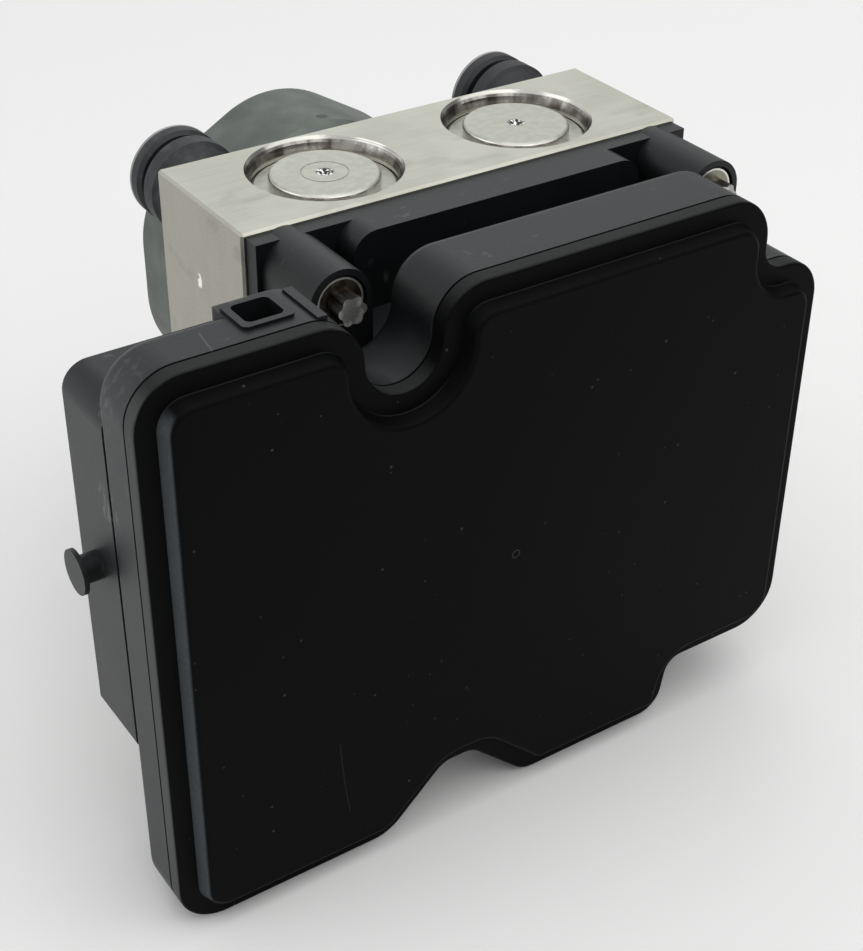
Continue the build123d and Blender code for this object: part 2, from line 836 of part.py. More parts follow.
def make_cap_screws(places, seat, depth, radius, head_radius, head_height):
    """Socket-head screws whose heads rest on a rear-facing seat."""
    screws = []
    for x, z in places:
        screw = rod(radius, (x, seat - depth, z), (x, seat + head_height, z))
        screw += rod(head_radius, (x, seat, z), (x, seat + head_height, z))
        key = Pos(x, z) * RegularPolygon(head_radius * hex_key_share, 6)
        screws.append(screw - prism(key, seat + head_height + overrun, seat + head_height / 2))
    return screws


def make_motor_seal():
    """Rubber ring between the motor can and the block, squeezed to its groove."""
    half = motor_seal_wire_radius - running_gap
    corner = half / 2
    return turned(
        [
            (motor_seal_radius - half, corner - half),
            (motor_seal_radius - corner, -half),
            (motor_seal_radius + corner, -half),
            (motor_seal_radius + half, corner - half),
            (motor_seal_radius + half, half - corner),
            (motor_seal_radius + corner, half),
            (motor_seal_radius - corner, half),
            (motor_seal_radius - half, half - corner),
        ],
        *motor_point(block_depth - motor_seal_wire_radius), (0, 1, 0),
    )


def make_mount_insert(x):
    """Steel insert: stud into the block, threaded hole at the rear and a washer face."""
    rear = mount_reach
    insert = turned(
        [
            (0, -stud_length),
            (stud_radius, -stud_length),
            (stud_radius, 0),
            (insert_radius, 0),
            (insert_radius, rear - mount_washer),
            (mount_radius, rear - mount_washer),
            (mount_radius, rear),
            (insert_bore_radius, rear),
            (insert_bore_radius, rear - insert_bore_depth),
            (0, rear - insert_bore_depth),
        ],
        x, block_depth, -mount_drop, (0, 1, 0),
    )
    return insert


def make_mount_rubber(x):
    """Moulded rubber spool round the insert, grooved for the bracket's slot."""
    rear = mount_reach - mount_washer
    groove_rear = rear - mount_flange
    groove_front = groove_rear - mount_groove
    body_front = groove_front - mount_body
    neck_rear = body_front - mount_neck_length
    return turned(
        [
            (insert_radius, mating_gap),
            (mount_neck_radius, mating_gap),
            (mount_neck_radius, neck_rear),
            (mount_radius - mount_body_round, body_front),
            (mount_radius, body_front + mount_body_round),
            (mount_radius, groove_front - mount_body_round),
            (mount_radius - mount_body_round, groove_front),
            (mount_groove_radius, groove_front),
            (mount_groove_radius, groove_rear),
            (mount_radius - mount_body_round, groove_rear),
            (mount_radius, groove_rear + mount_body_round),
            (mount_radius, rear),
            (insert_radius, rear),
        ],
        x, block_depth, -mount_drop, (0, 1, 0),
    )


def sleeve_profile():
    """Cavity ends of a valve sleeve, along the valve axis from the block's front face."""
    dome_inside = -(sleeve_reach - sleeve_wall)
    cavity_end = dome_inside + armature_length + armature_travel + 2 * mating_gap
    return dome_inside, cavity_end


def make_valve_body(x, z):
    """Valve cartridge: seat pressed in the block and a thin sleeve with a closed dome."""
    dome_inside, cavity_end = sleeve_profile()
    bore = sleeve_radius - sleeve_wall
    pin_bore = armature_pin_radius + fit_gap
    return turned(
        [
            (0, -sleeve_reach),
            (sleeve_radius - sleeve_wall, -sleeve_reach),
            (sleeve_radius, -sleeve_reach + sleeve_wall),
            (sleeve_radius, 0),
            (valve_seat_radius, 0),
            (valve_seat_radius, valve_seat_depth),
            (valve_body_radius, valve_seat_depth),
            (valve_body_radius, valve_body_depth),
            (valve_passage_radius, valve_body_depth),
            (valve_passage_radius, cavity_end + armature_pin_length + mating_gap),
            (pin_bore, cavity_end + armature_pin_length + mating_gap),
            (pin_bore, cavity_end),
            (bore, cavity_end),
            (bore, dome_inside),
            (0, dome_inside),
        ],
        x, 0, z, (0, 1, 0),
    )


def make_armature(x, z, kind):
    """Iron plunger with its valve pin, parked open for an inlet and shut for an outlet valve."""
    dome_inside, cavity_end = sleeve_profile()
    radius = sleeve_radius - sleeve_wall - running_gap
    if kind == "inlet":
        start = dome_inside + mating_gap
    else:
        start = cavity_end - mating_gap - armature_length
    end = start + armature_length
    return turned(
        [
            (0, start),
            (radius, start),
            (radius, end),
            (armature_pin_radius, end),
            (armature_pin_radius, end + armature_pin_length - armature_travel),
            (0, end + armature_pin_length - armature_travel),
        ],
        x, 0, z, (0, 1, 0),
    )


def make_coil(x, z):
    """Solenoid coil over the valve sleeve: flanged former with its winding."""
    front = -(coil_standoff + coil_length)
    rear = -coil_standoff
    return turned(
        [
            (sleeve_radius + coil_gap, front),
            (coil_radius, front),
            (coil_radius, front + coil_flange),
            (coil_radius - coil_groove, front + coil_flange),
            (coil_radius - coil_groove, rear - coil_flange),
            (coil_radius, rear - coil_flange),
            (coil_radius, rear),
            (sleeve_radius + coil_gap, rear),
        ],
        x, 0, z, (0, 1, 0),
    )


def make_coil_terminals():
    """Two flat pins from each coil up to the circuit board."""
    half = terminal_width / 2
    pins = []
    for x, z in valve_places.values():
        for side in sides.values():
            middle = x + side * terminal_offset
            pins.append(slab((middle - half, -(board_drop + board_thickness / 2), z - half),
                             (middle + half, -(coil_standoff + coil_length), z + half)))
    return pins


def ecu_corners():
    """Corners of the control unit's outline, clockwise from the top left, each with its radius."""
    notch_left = screw_left_inset - notch_radius
    notch_right = screw_left_inset + notch_radius
    notch_floor = -screw_drop - notch_radius
    cut_left = ecu_right - cut_width
    cut_floor = ecu_top_rise - cut_depth
    foot_left = ecu_right - foot_width
    foot_top = ecu_bottom + foot_rise
    peak_left = valley_centre - valley_peak_width / 2
    peak_right = valley_centre + valley_peak_width / 2
    valley_left = valley_centre - valley_width / 2
    valley_right = valley_centre + valley_width / 2
    return [
        ((ecu_left, ecu_top_rise), corner_top_left),
        ((notch_left, ecu_top_rise), notch_left_shoulder - fit_gap),
        ((notch_left, notch_floor), notch_radius - fit_gap),
        ((notch_right, notch_floor), notch_radius - fit_gap),
        ((notch_right, ecu_top_rise), notch_right_shoulder - fit_gap),
        ((cut_left, ecu_top_rise), cut_shoulder),
        ((cut_left, cut_floor), cut_valley),
        ((ecu_right, cut_floor), cut_corner),
        ((ecu_right, foot_top), corner_bottom_right),
        ((foot_left + foot_draft + foot_inner_corner, foot_top), foot_inner_corner),
        ((foot_left + foot_inner_corner, ecu_bottom), foot_outer_corner),
        ((valley_right, ecu_bottom), valley_right_corner),
        ((peak_right, foot_top), valley_peak_radius),
        ((peak_left, foot_top), valley_peak_radius),
        ((valley_left, ecu_bottom), valley_left_corner),
        ((ecu_left, ecu_bottom), corner_bottom_left),
    ]


def ecu_face(inset=0.0):
    """Outline of the control unit with its notches, moved evenly inwards by an inset."""
    corners = ecu_corners()
    points = []
    radii = []
    for n, (spot, radius) in enumerate(corners):
        here = Vector(*spot)
        arriving = (here - Vector(*corners[n - 1][0])).normalized()
        leaving = (Vector(*corners[(n + 1) % len(corners)][0]) - here).normalized()
        inward = Vector(arriving.Y, -arriving.X) + Vector(leaving.Y, -leaving.X)
        moved = here + inward * (inset / (1 + arriving.dot(leaving)))
        points.append((moved.X, moved.Y))
        outside_corner = arriving.cross(leaving).Z < 0
        radii.append(max(radius - inset if outside_corner else radius + inset, smallest_corner))
    return outline(points, radii)


def make_cover():
    """Moulded lid: a flat rim all round and a raised middle, hollow behind."""
    rim = prism(ecu_face(), cover_back, cover_face)
    rim = fillet(rim.edges().group_by(Axis.Y)[0], cover_edge_round)
    top = cover_face - plateau_rise
    lead = plateau_draft / plateau_rise * overrun
    middle = loft([front_plane(cover_face + overrun) * ecu_face(rim_width - lead),
                   front_plane(top) * ecu_face(rim_width + plateau_draft)], ruled=True)
    middle = fillet(middle.edges().group_by(Axis.Y)[0], plateau_round)
    inner = rim_width + cover_wall
    hollow = loft([front_plane(cover_back + overrun) * ecu_face(inner),
                   front_plane(top + cover_wall) * ecu_face(inner + plateau_draft)], ruled=True)
    return rim + middle - hollow


def make_notch_rib():
    """Low rib that carries the tray's flat top on to the notch round the left screw."""
    right = screw_left_inset - notch_radius - rib_from_notch
    return slab((right - rib_width, cover_back + cover_gap, ecu_top_rise - rib_root),
                (right, -rib_rear, ecu_top_rise + rib_rise))


def right_of_socket(inset=0.0):
    """Area of the tray that stands further back: all of it from the socket to the right."""
    left = -(socket_right_gap + socket_width) + inset
    width = ecu_right - left
    height = ecu_top_rise - ecu_bottom
    middle = (left + ecu_right) / 2, (ecu_top_rise + ecu_bottom) / 2
    return Pos(*middle) * Rectangle(width + overrun, height + overrun)


def make_tray():
    """Tray for the circuit board, deeper on its right side, with rounded rear edges."""
    left = prism(ecu_face(), -tray_rear_left, cover_back + cover_gap)
    left = fillet(left.edges().group_by(Axis.Y)[-1], tray_rear_round)
    right = prism(ecu_face() & right_of_socket(), -tray_rear_right, cover_back + cover_gap)
    right = fillet(right.edges().group_by(Axis.Y)[-1], tray_rear_round)
    return left + right + prism(ecu_face(cover_gap_depth), cover_back + cover_gap, cover_back)


def make_neck():
    """Block plate, the band behind it and the box that encloses the coils."""
    neck = slab((plate_inset, -plate_thickness, -block_height + plate_inset),
                (block_width - plate_inset, 0, -plate_inset))
    neck += prism(rounded_box(band_inset, block_width - band_inset, -neck_bottom, -band_drop, band_corner),
                  -plate_thickness, -band_front)
    walls = rounded_box(neck_inset, block_width - neck_inset, -neck_bottom, -neck_drop, neck_corner)
    neck += prism(walls, -plate_thickness, -tray_rear_right - tray_floor / 2)
    for x in screw_places:
        neck += rod(boss_radius, (x, 0, -screw_drop), (x, -boss_reach, -screw_drop))
        neck += slab((x - boss_radius, -boss_reach, -neck_drop - neck_corner), (x + boss_radius, 0, -screw_drop))
    for x in rear_screw_places:
        end = -rear_screw_thread_depth - overrun
        neck += rod(rear_boss_radius, (x, 0, -rear_screw_drop), (x, end, -rear_screw_drop))
    return neck


def make_coil_room():
    """Space for the coils, open to the block."""
    room = rounded_box(neck_inset + neck_wall, block_width - neck_inset - neck_wall,
                       -neck_bottom + neck_wall, -neck_drop - neck_wall, neck_corner - neck_wall)
    return prism(room, overrun, -tray_rear_right + overrun)


def make_housing():
    """Moulded housing: block plate, coil room, tray for the board, bosses, socket and shroud."""
    housing = make_tray() + make_notch_rib() + make_neck() + make_shroud_walls()
    housing -= make_coil_room()
    housing -= prism(ecu_face(tray_wall), floor_front_left, cover_back - overrun)
    housing -= prism(ecu_face(tray_wall) & right_of_socket(tray_wall), floor_front_right, floor_front_left)
    housing += make_socket_box()
    housing += make_board_posts()
    housing -= make_shroud_room()
    housing -= make_socket_room()
    housing -= make_terminal_window()
    for x in screw_places:
        housing -= rod(sleeve_outer_radius, (x, overrun, -screw_drop), (x, -boss_reach - overrun, -screw_drop))
        housing -= rod(boss_recess_radius, (x, -boss_reach + boss_recess_depth, -screw_drop),
                       (x, -boss_reach - overrun, -screw_drop))
    for x in rear_screw_places:
        housing -= rod(screw_radius + fit_gap, (x, overrun, -rear_screw_drop),
                       (x, -rear_screw_thread_depth, -rear_screw_drop))
    housing -= make_gasket_groove()
    housing -= rod(motor_plug_radius + fit_gap, (centre_x, overrun, -motor_plug_drop),
                   (centre_x, floor_front_right - overrun, -motor_plug_drop))
    housing -= make_connector_pins(fit_gap)
    return housing + make_peg()


def make_shroud_walls():
    """Outside of the connector shroud, open to the rear."""
    face = outline(
        [
            (ecu_left, -shroud_drop),
            (-shroud_right_gap, -shroud_drop),
            (-shroud_right_gap, -shroud_bottom),
            (ecu_left, -shroud_bottom),
        ],
        [shroud_corner, shroud_lower_corner, shroud_lower_corner, shroud_lower_corner],
    )
    return prism(face, -shroud_rear, -tray_rear_left - tray_floor / 2)


def make_shroud_room():
    """Space inside the connector shroud."""
    corner = shroud_corner - shroud_wall
    face = outline(
        [
            (ecu_left + shroud_wall, -shroud_drop - shroud_wall),
            (-shroud_right_gap - shroud_wall, -shroud_drop - shroud_wall),
            (-shroud_right_gap - shroud_wall, -shroud_bottom + shroud_wall),
            (ecu_left + shroud_wall, -shroud_bottom + shroud_wall),
        ],
        [corner, corner, corner, corner],
    )
    return prism(face, -shroud_rear + overrun, -tray_rear_left)


def make_peg():
    """Mushroom-headed pivot for the plug's locking lever, moulded on the shroud's side."""
    y = -(shroud_rear + tray_rear_left) / 2
    z = -(shroud_drop + shroud_bottom) / 2
    neck_end = ecu_left - peg_length
    peg = rod(peg_radius, (ecu_left + shroud_wall / 2, y, z), (neck_end, y, z))
    return peg + rod(peg_head_radius, (neck_end, y, z), (neck_end - peg_head_thickness, y, z))


def socket_face(inset):
    """Rectangle of the socket seen from above, shrunk by an inset."""
    return RectangleRounded(socket_width - 2 * inset, socket_depth_size - 2 * inset, socket_corner)


def socket_plane(z):
    """Plane across the socket at a measured height."""
    x = -socket_right_gap - socket_width / 2
    y = -socket_front + socket_depth_size / 2
    return Plane(origin=place(x, y, z))


def make_socket_box():
    """Walls of the rectangular socket, standing a little proud of the tray."""
    lip_top = ecu_top_rise + socket_lip
    return extrude(socket_plane(lip_top) * socket_face(0), -(socket_depth + socket_wall + socket_lip))


def make_socket_room():
    """Space inside the rectangular socket."""
    lip_top = ecu_top_rise + socket_lip
    return extrude(socket_plane(lip_top + overrun) * socket_face(socket_wall), -(socket_depth + socket_lip + overrun))


def board_post_places():
    """Where the circuit board rests on posts in the tray."""
    margin = tray_wall + board_gap + 3 * board_post_radius
    left, right = ecu_left + margin, ecu_right - margin
    low, high = ecu_bottom + foot_rise + margin, -cut_depth - margin
    return [(left, low), (left, high), (right, low), (right, high)]


def make_board_posts():
    """Posts that carry the circuit board."""
    posts = []
    for x, z in board_post_places():
        posts.append(rod(board_post_radius, (x, floor_front_right + overrun, z), (x, -board_drop, z)))
    return posts


def make_terminal_window():
    """Slot in the tray's floor over each row of coils, for the terminals."""
    window = []
    half = terminal_width + mating_gap
    reach = terminal_offset + terminal_width + mating_gap
    for row_drop in (inlet_row_drop, outlet_row_drop):
        window.append(slab((valve_columns[0] - reach, floor_front_right - overrun, -row_drop - half),
                           (valve_columns[-1] + reach, -tray_rear_right + 2 * overrun, -row_drop + half)))
    return window


def gasket_face(width):
    """Frame-shaped face that runs round the coil room, in the middle of its wall."""
    faces = []
    for inset in ((neck_wall - width) / 2, (neck_wall + width) / 2):
        faces.append(rounded_box(neck_inset + inset, block_width - neck_inset - inset,
                                 -neck_bottom + inset, -neck_drop - inset, neck_corner - inset))
    return faces[0] - faces[1]


def make_gasket_groove():
    """Groove in the housing's block face for its gasket."""
    return prism(gasket_face(gasket_width + 2 * fit_gap), overrun, -gasket_thickness)


def make_gasket():
    """Rubber gasket between the housing and the block."""
    return prism(gasket_face(gasket_width), 0, -gasket_thickness + fit_gap)


def make_board():
    """Circuit board on its posts."""
    board = prism(ecu_face(tray_wall + board_gap), -board_drop, board_front)
    for x, z in valve_places.values():
        for side in sides.values():
            middle = x + side * terminal_offset
            board -= slab((middle - terminal_width, board_front - overrun, z - terminal_width),
                          (middle + terminal_width, -board_drop + overrun, z + terminal_width))
    return board


def make_chips():
    """Processor, driver and regulator packages soldered on the board."""
    chips = []
    width = ecu_right - ecu_left
    height = ecu_top_rise - ecu_bottom
    for across, down in chip_places_share:
        x = ecu_left + across * width
        z = ecu_top_rise - down * height
        half = chip_size / 2
        chips.append(slab((x - half, board_front - chip_height, z - half), (x + half, board_front, z + half)))
    return chips


def make_connector_pins(gap=0.0):
    """Signal pins and power blades between the connector and the board, or their holes with a gap."""
    middle_x = (ecu_left - shroud_right_gap) / 2
    middle_z = -(shroud_drop + shroud_bottom) / 2
    half = pin_width / 2 + gap
    start = -board_drop + fit_gap - gap
    end = -tray_rear_left + pin_reach + gap
    pins = []
    for row in range(pin_rows):
        for column in range(pin_columns):
            x = middle_x + pin_row_pitch * (row - (pin_rows - 1) / 2)
            z = middle_z + pin_pitch * (column - (pin_columns - 1) / 2)
            pins.append(slab((x - half, start, z - half), (x + half, end, z + half)))
    for n in range(blade_count):
        x = middle_x + blade_pitch * (n - (blade_count - 1) / 2)
        z = middle_z - pin_pitch * (pin_columns / 2 + 1)
        across = blade_thickness / 2 + gap
        along = blade_width / 2 + gap
        pins.append(slab((x - across, start, z - along), (x + across, end, z + along)))
    return pins


def make_front_screws():
    """Flanged screws with six-lobed heads that hold the housing to the block."""
    seat = -boss_reach + boss_recess_depth
    screws = []
    for x in screw_places:
        screw = rod(screw_radius, (x, screw_depth, -screw_drop), (x, seat, -screw_drop))
        flange_face = seat - screw_flange_thickness
        screw += rod(screw_flange_radius, (x, seat, -screw_drop), (x, flange_face, -screw_drop))
        lobes = Circle(screw_head_radius * (1 - screw_lobe_share))
        for n in range(screw_lobes):
            turn = Rot(0, 0, 360 * n / screw_lobes)
            lobes += turn * Pos(screw_head_radius * (1 - 2 * screw_lobe_share), 0) * Circle(
                screw_head_radius * 2 * screw_lobe_share)
        head = prism(Pos(x, -screw_drop) * lobes, flange_face, flange_face - screw_head_height)
        screws.append(screw + head)
    return screws


def make_screw_sleeves():
    """Steel tubes in the bosses that take the screws' clamping force."""
    sleeves = []
    seat = -boss_reach + boss_recess_depth
    for x in screw_places:
        tube = rod(sleeve_outer_radius, (x, 0, -screw_drop), (x, seat, -screw_drop))
        sleeves.append(tube - rod(screw_radius + fit_gap, (x, overrun, -screw_drop), (x, seat - overrun, -screw_drop)))
    return sleeves


nodes["valve_block"] = make_valve_block()
for name, x in accumulator_places.items():
    nodes["accumulator_cap_" + name] = make_accumulator_cap(x, name == "left")
    nodes["accumulator_piston_" + name] = make_accumulator_piston(x)
    nodes["accumulator_seal_" + name] = make_accumulator_seal(x)
    nodes["accumulator_spring_" + name] = make_accumulator_spring(x)
for name, side in sides.items():
    nodes["pump_piston_" + name] = make_pump_piston(side)
    nodes["pump_plug_" + name] = make_pump_plug(side)
    nodes["pump_spring_" + name] = make_pump_spring(side)
nodes["motor_can"] = make_motor_can()
nodes["motor_end_plate"] = make_end_plate()
nodes["motor_magnets"] = make_magnets()
nodes["motor_shaft"] = make_shaft()
nodes["rotor_core"] = make_core()
nodes["rotor_windings"] = make_windings()
nodes["commutator"] = make_commutator()
nodes["motor_brushes"] = make_brushes()
nodes["brush_carrier"] = make_brush_carrier()
nodes["motor_seal"] = make_motor_seal()
nodes["motor_plug"] = make_motor_plug()
nodes["motor_screws"] = make_cap_screws(ear_places, block_depth + ear_thickness, motor_screw_depth,
                                        motor_screw_radius, motor_screw_head_radius, motor_screw_head_height)
nodes["cam_ring"] = make_cam_ring()
nodes["front_bush"] = make_bush(front_bush_radius, block_depth - pilot_depth + fit_gap,
                                block_depth + end_plate_gap + end_plate_thickness)
nodes["rear_bush"] = make_bush(pocket_radius - motor_wall, block_depth + motor_length + pocket_length
                               - motor_wall - rear_bush_length, block_depth + motor_length + pocket_length - motor_wall)
nodes["nose_bush"] = make_bush(nose_bush_radius, cam_chamber_floor - nose_bush_length, cam_chamber_floor)
for name, x in mount_places.items():
    nodes["mount_rubber_" + name] = make_mount_rubber(x)
    nodes["mount_insert_" + name] = make_mount_insert(x)
nodes["ecu_housing"] = make_housing()
nodes["ecu_cover"] = make_cover()
nodes["ecu_gasket"] = make_gasket()
nodes["circuit_board"] = make_board()
nodes["board_chips"] = make_chips()
nodes["connector_pins"] = make_connector_pins()
nodes["coil_terminals"] = make_coil_terminals()
nodes["ecu_screws"] = make_front_screws()
nodes["screw_sleeves"] = make_screw_sleeves()
nodes["ecu_rear_screws"] = make_cap_screws([(x, -rear_screw_drop) for x in rear_screw_places],
                                           block_depth - rear_screw_head_depth,
                                           block_depth - rear_screw_head_depth + rear_screw_thread_depth,
                                           screw_radius, screw_flange_radius, rear_screw_head_depth - block_edge)
for kind in ("inlet", "outlet"):
    spots = {number: spot for (which, number), spot in valve_places.items() if which == kind}
    nodes[kind + "_valves"] = [make_valve_body(*spot) for spot in spots.values()]
    nodes[kind + "_coils"] = [make_coil(*spot) for spot in spots.values()]
    for number, spot in spots.items():
        nodes[kind + "_armature_" + str(number)] = make_armature(*spot, kind)

os.makedirs("parts", exist_ok=True)
for name, shape in nodes.items():
    if isinstance(shape, list):
        shape = Compound(children=shape)
    shape.label = name
    export_step(shape, "parts/" + name + ".step")
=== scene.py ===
import math

import bmesh
import bpy
from mathutils import Matrix, Vector


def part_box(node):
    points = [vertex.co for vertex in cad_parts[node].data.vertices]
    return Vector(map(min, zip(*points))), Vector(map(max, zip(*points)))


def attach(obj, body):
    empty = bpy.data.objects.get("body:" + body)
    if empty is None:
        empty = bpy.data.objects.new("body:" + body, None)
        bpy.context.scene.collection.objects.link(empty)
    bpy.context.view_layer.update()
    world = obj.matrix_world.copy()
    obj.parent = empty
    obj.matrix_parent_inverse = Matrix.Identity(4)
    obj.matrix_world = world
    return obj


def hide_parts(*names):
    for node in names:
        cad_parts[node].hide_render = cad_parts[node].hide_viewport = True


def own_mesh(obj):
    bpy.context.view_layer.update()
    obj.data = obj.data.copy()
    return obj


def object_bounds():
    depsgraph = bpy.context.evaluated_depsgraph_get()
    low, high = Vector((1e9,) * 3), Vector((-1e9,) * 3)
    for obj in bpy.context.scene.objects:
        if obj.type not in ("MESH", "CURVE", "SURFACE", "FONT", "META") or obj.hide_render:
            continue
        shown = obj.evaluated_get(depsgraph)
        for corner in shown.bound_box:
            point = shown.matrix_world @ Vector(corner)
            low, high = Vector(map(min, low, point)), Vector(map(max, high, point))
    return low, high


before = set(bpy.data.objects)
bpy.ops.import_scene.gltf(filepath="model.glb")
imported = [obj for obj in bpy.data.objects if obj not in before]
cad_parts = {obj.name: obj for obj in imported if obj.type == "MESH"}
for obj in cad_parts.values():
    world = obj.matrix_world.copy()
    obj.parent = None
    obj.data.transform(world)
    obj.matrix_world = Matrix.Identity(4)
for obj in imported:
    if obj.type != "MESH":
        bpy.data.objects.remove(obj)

cad_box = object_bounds()
scene = bpy.context.scene
scene.view_settings.view_transform = "Standard"

# The camera stands in front of the unit, a little to its left, and looks down on it. Its focal
# length and place were fitted to the straight edges of the block and the mounts. The picture is
# 863 pixels wide and 951 high.
picture_height = 951
focal_pixels = 1753.13
centre_right_pixels = 15.54
centre_up_pixels = 7.02
sensor_mm = 36.0
eye = Vector((-0.18197, -0.30743, 0.15012))
aim = Vector((-0.01964, -0.07200, -0.04057))
roll = math.radians(-0.905)
camera = bpy.data.objects.new("camera", bpy.data.cameras.new("camera"))
camera.data.sensor_width = sensor_mm
camera.data.lens = focal_pixels * sensor_mm / picture_height
camera.data.shift_x = -centre_right_pixels / picture_height
camera.data.shift_y = -centre_up_pixels / picture_height
camera.data.clip_start = 0.01
forward = (aim - eye).normalized()
level = forward.cross(Vector((0, 0, 1))).normalized()
upright = level.cross(forward)
up = upright * math.cos(roll) + level * math.sin(roll)
right = forward.cross(up)
turn = Matrix((right, up, -forward)).transposed().to_4x4()
camera.matrix_world = Matrix.Translation(eye) @ turn
scene.collection.objects.link(camera)
scene.camera = camera

# The unit stands on a plain pale floor. The room is soft and bright behind the unit and above
# it, and dim on the side of the camera, so that the faces towards the camera are the darker ones.


class Wire:
    """A node's output socket. Arithmetic on it adds the Math nodes that work it out."""

    def __init__(self, web, socket):
        self.web = web
        self.socket = socket

    def maths(self, operation, first, second=0.0):
        return self.web.node("ShaderNodeMath", {"operation": operation}, {0: first, 1: second})

    def __add__(self, other):
        return self.maths("ADD", self, other)

    def __sub__(self, other):
        return self.maths("SUBTRACT", self, other)

    def __rsub__(self, other):
        return self.maths("SUBTRACT", other, self)

    def __mul__(self, other):
        return self.maths("MULTIPLY", self, other)

    def __abs__(self):
        return self.maths("ABSOLUTE", self)

    def __neg__(self):
        return self.maths("MULTIPLY", self, -1)

    def sine(self):
        return self.maths("SINE", self)

    def least(self, other):
        return self.maths("MINIMUM", self, other)

    def most(self, other):
        return self.maths("MAXIMUM", self, other)

    def rise(self, low, high):
        """0 below low, 1 above high and a smooth step between them."""
        inputs = {"Value": self, "From Min": low, "From Max": high}
        return self.web.node("ShaderNodeMapRange", {"interpolation_type": "SMOOTHSTEP"}, inputs)

    def band(self, low, high, soft):
        """1 between low and high, falling off softly outside them."""
        return self.rise(low - soft, low) * (1 - self.rise(high, high + soft))

    __radd__ = __add__
    __rmul__ = __mul__


class Web:
    """A node tree. One method adds any node and returns one of its outputs."""

    def __init__(self, tree):
        self.tree = tree

    def node(self, kind, settings=None, inputs=None, output=0):
        """Adds a node of a type with its settings first, then its sockets' values or links."""
        made = self.tree.nodes.new(kind)
        for name, value in (settings or {}).items():
            setattr(made, name, value)
        for name, value in (inputs or {}).items():
            self.feed(made.inputs[name], value)
        return Wire(self, made.outputs[output])

    def feed(self, socket, value):
        """Gives a socket a link, a colour or a plain value."""
        if isinstance(value, Wire):
            self.tree.links.new(value.socket, socket)
        elif isinstance(value, tuple) and len(value) == 3 and socket.type == "RGBA":
            socket.default_value = (*value, 1.0)
        else:
            socket.default_value = value

    def axes(self, vector):
        """The three parts of a vector."""
        return [
            self.node("ShaderNodeSeparateXYZ", inputs={0: vector}, output=n) for n in range(3)]

    def mix(self, share, first, second):
        """Colour between two colours."""
        inputs = {0: share, 6: first, 7: second}
        return self.node("ShaderNodeMix", {"data_type": "RGBA"}, inputs, output=2)


class Finish(Web):
    """A surface finish. Places are in millimetres in the part's own frame."""

    def __init__(self, name):
        self.material = bpy.data.materials.new(name)
        self.material.use_nodes = True
        self.shader = self.material.node_tree.nodes["Principled BSDF"]
        super().__init__(self.material.node_tree)

    def place(self, stretch=(1, 1, 1)):
        """Object coordinates in millimetres, stretched along each axis."""
        here = self.node("ShaderNodeTexCoord", output="Object")
        scale = tuple(1000 * s for s in stretch)
        return self.node("ShaderNodeVectorMath", {"operation": "MULTIPLY"}, {0: here, 1: scale})

    def facing(self):
        """The three parts of the surface's own outward direction."""
        return self.axes(self.node("ShaderNodeTexCoord", output="Normal"))

    def away(self, spot, stretch=(1, 1, 1)):
        """Distance from a spot, in millimetres. A stretch of 0 leaves that axis out."""
        inputs = {0: self.place(stretch), 1: tuple(s * f for s, f in zip(spot, stretch))}
        return self.node("ShaderNodeVectorMath", {"operation": "DISTANCE"}, inputs, output=1)

    def nearer(self, first, second, stretch=(1, 1, 1)):
        """Distance from the nearer of two spots, in millimetres."""
        return self.away(first, stretch).least(self.away(second, stretch))

    def noise(self, size, detail=2.0, stretch=(1, 1, 1), shift=0.0):
        """Soft noise from 0 to 1, whose patches are about size millimetres across."""
        inputs = {0: self.place(stretch), 1: (shift,) * 3}
        here = self.node("ShaderNodeVectorMath", {"operation": "ADD"}, inputs)
        inputs = {"Vector": here, "Scale": 1 / size, "Detail": detail}
        return self.node("ShaderNodeTexNoise", inputs=inputs)

    def specks(self, size, share):
        """Small separate dots, 1 inside, on a share of the cells of a grid of that size."""
        inputs = {"Vector": self.place(), "Scale": 1 / size, "Randomness": 1.0}
        near = self.node("ShaderNodeTexVoronoi", inputs=inputs)
        cell = self.axes(self.node("ShaderNodeTexVoronoi", inputs=inputs, output="Color"))[0]
        return (1 - near.rise(0.08, 0.2)) * cell.rise(1 - share, 1 - share + 0.01)

    def bump(self, height):
        """Surface direction for a height in millimetres."""
        inputs = {"Strength": 1.0, "Distance": 0.001, "Height": height}
        return self.node("ShaderNodeBump", inputs=inputs)

    def coat(self, **sockets):
        """Sets the shader's sockets, with underscores for the spaces in their names."""
        for name, value in sockets.items():
            self.feed(self.shader.inputs[name.replace("_", " ")], value)

    def grained(self, grain, dull, bright, smooth, rougher, height=0.0, **sockets):
        """A finish whose colour, roughness and height all follow one fine grain."""
        if height:
            sockets["Normal"] = self.bump(grain * height)
        shade = self.mix(grain, dull, bright)
        self.coat(Base_Color=shade, Roughness=smooth + grain * rougher, **sockets)

    def on(self, *nodes):
        """Puts the finish on CAD nodes."""
        for name in nodes:
            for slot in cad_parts[name].material_slots:
                slot.material = self.material


floor_size = 3.0
floor_gap = 0.0005
floor_colour = (0.96, 0.96, 0.96)
half = floor_size / 2
floor_level = cad_box[0][2] - floor_gap
corners = [(-half, -half), (half, -half), (half, half), (-half, half)]
floor_mesh = bpy.data.meshes.new("floor")
floor_mesh.from_pydata([(x, y, floor_level) for x, y in corners], [], [(0, 1, 2, 3)])
floor = bpy.data.objects.new("floor", floor_mesh)
scene.collection.objects.link(floor)
paper = Finish("floor_paper")
paper.coat(Base_Color=floor_colour, Roughness=0.9, Specular_IOR_Level=0.1)
floor.data.materials.append(paper.material)

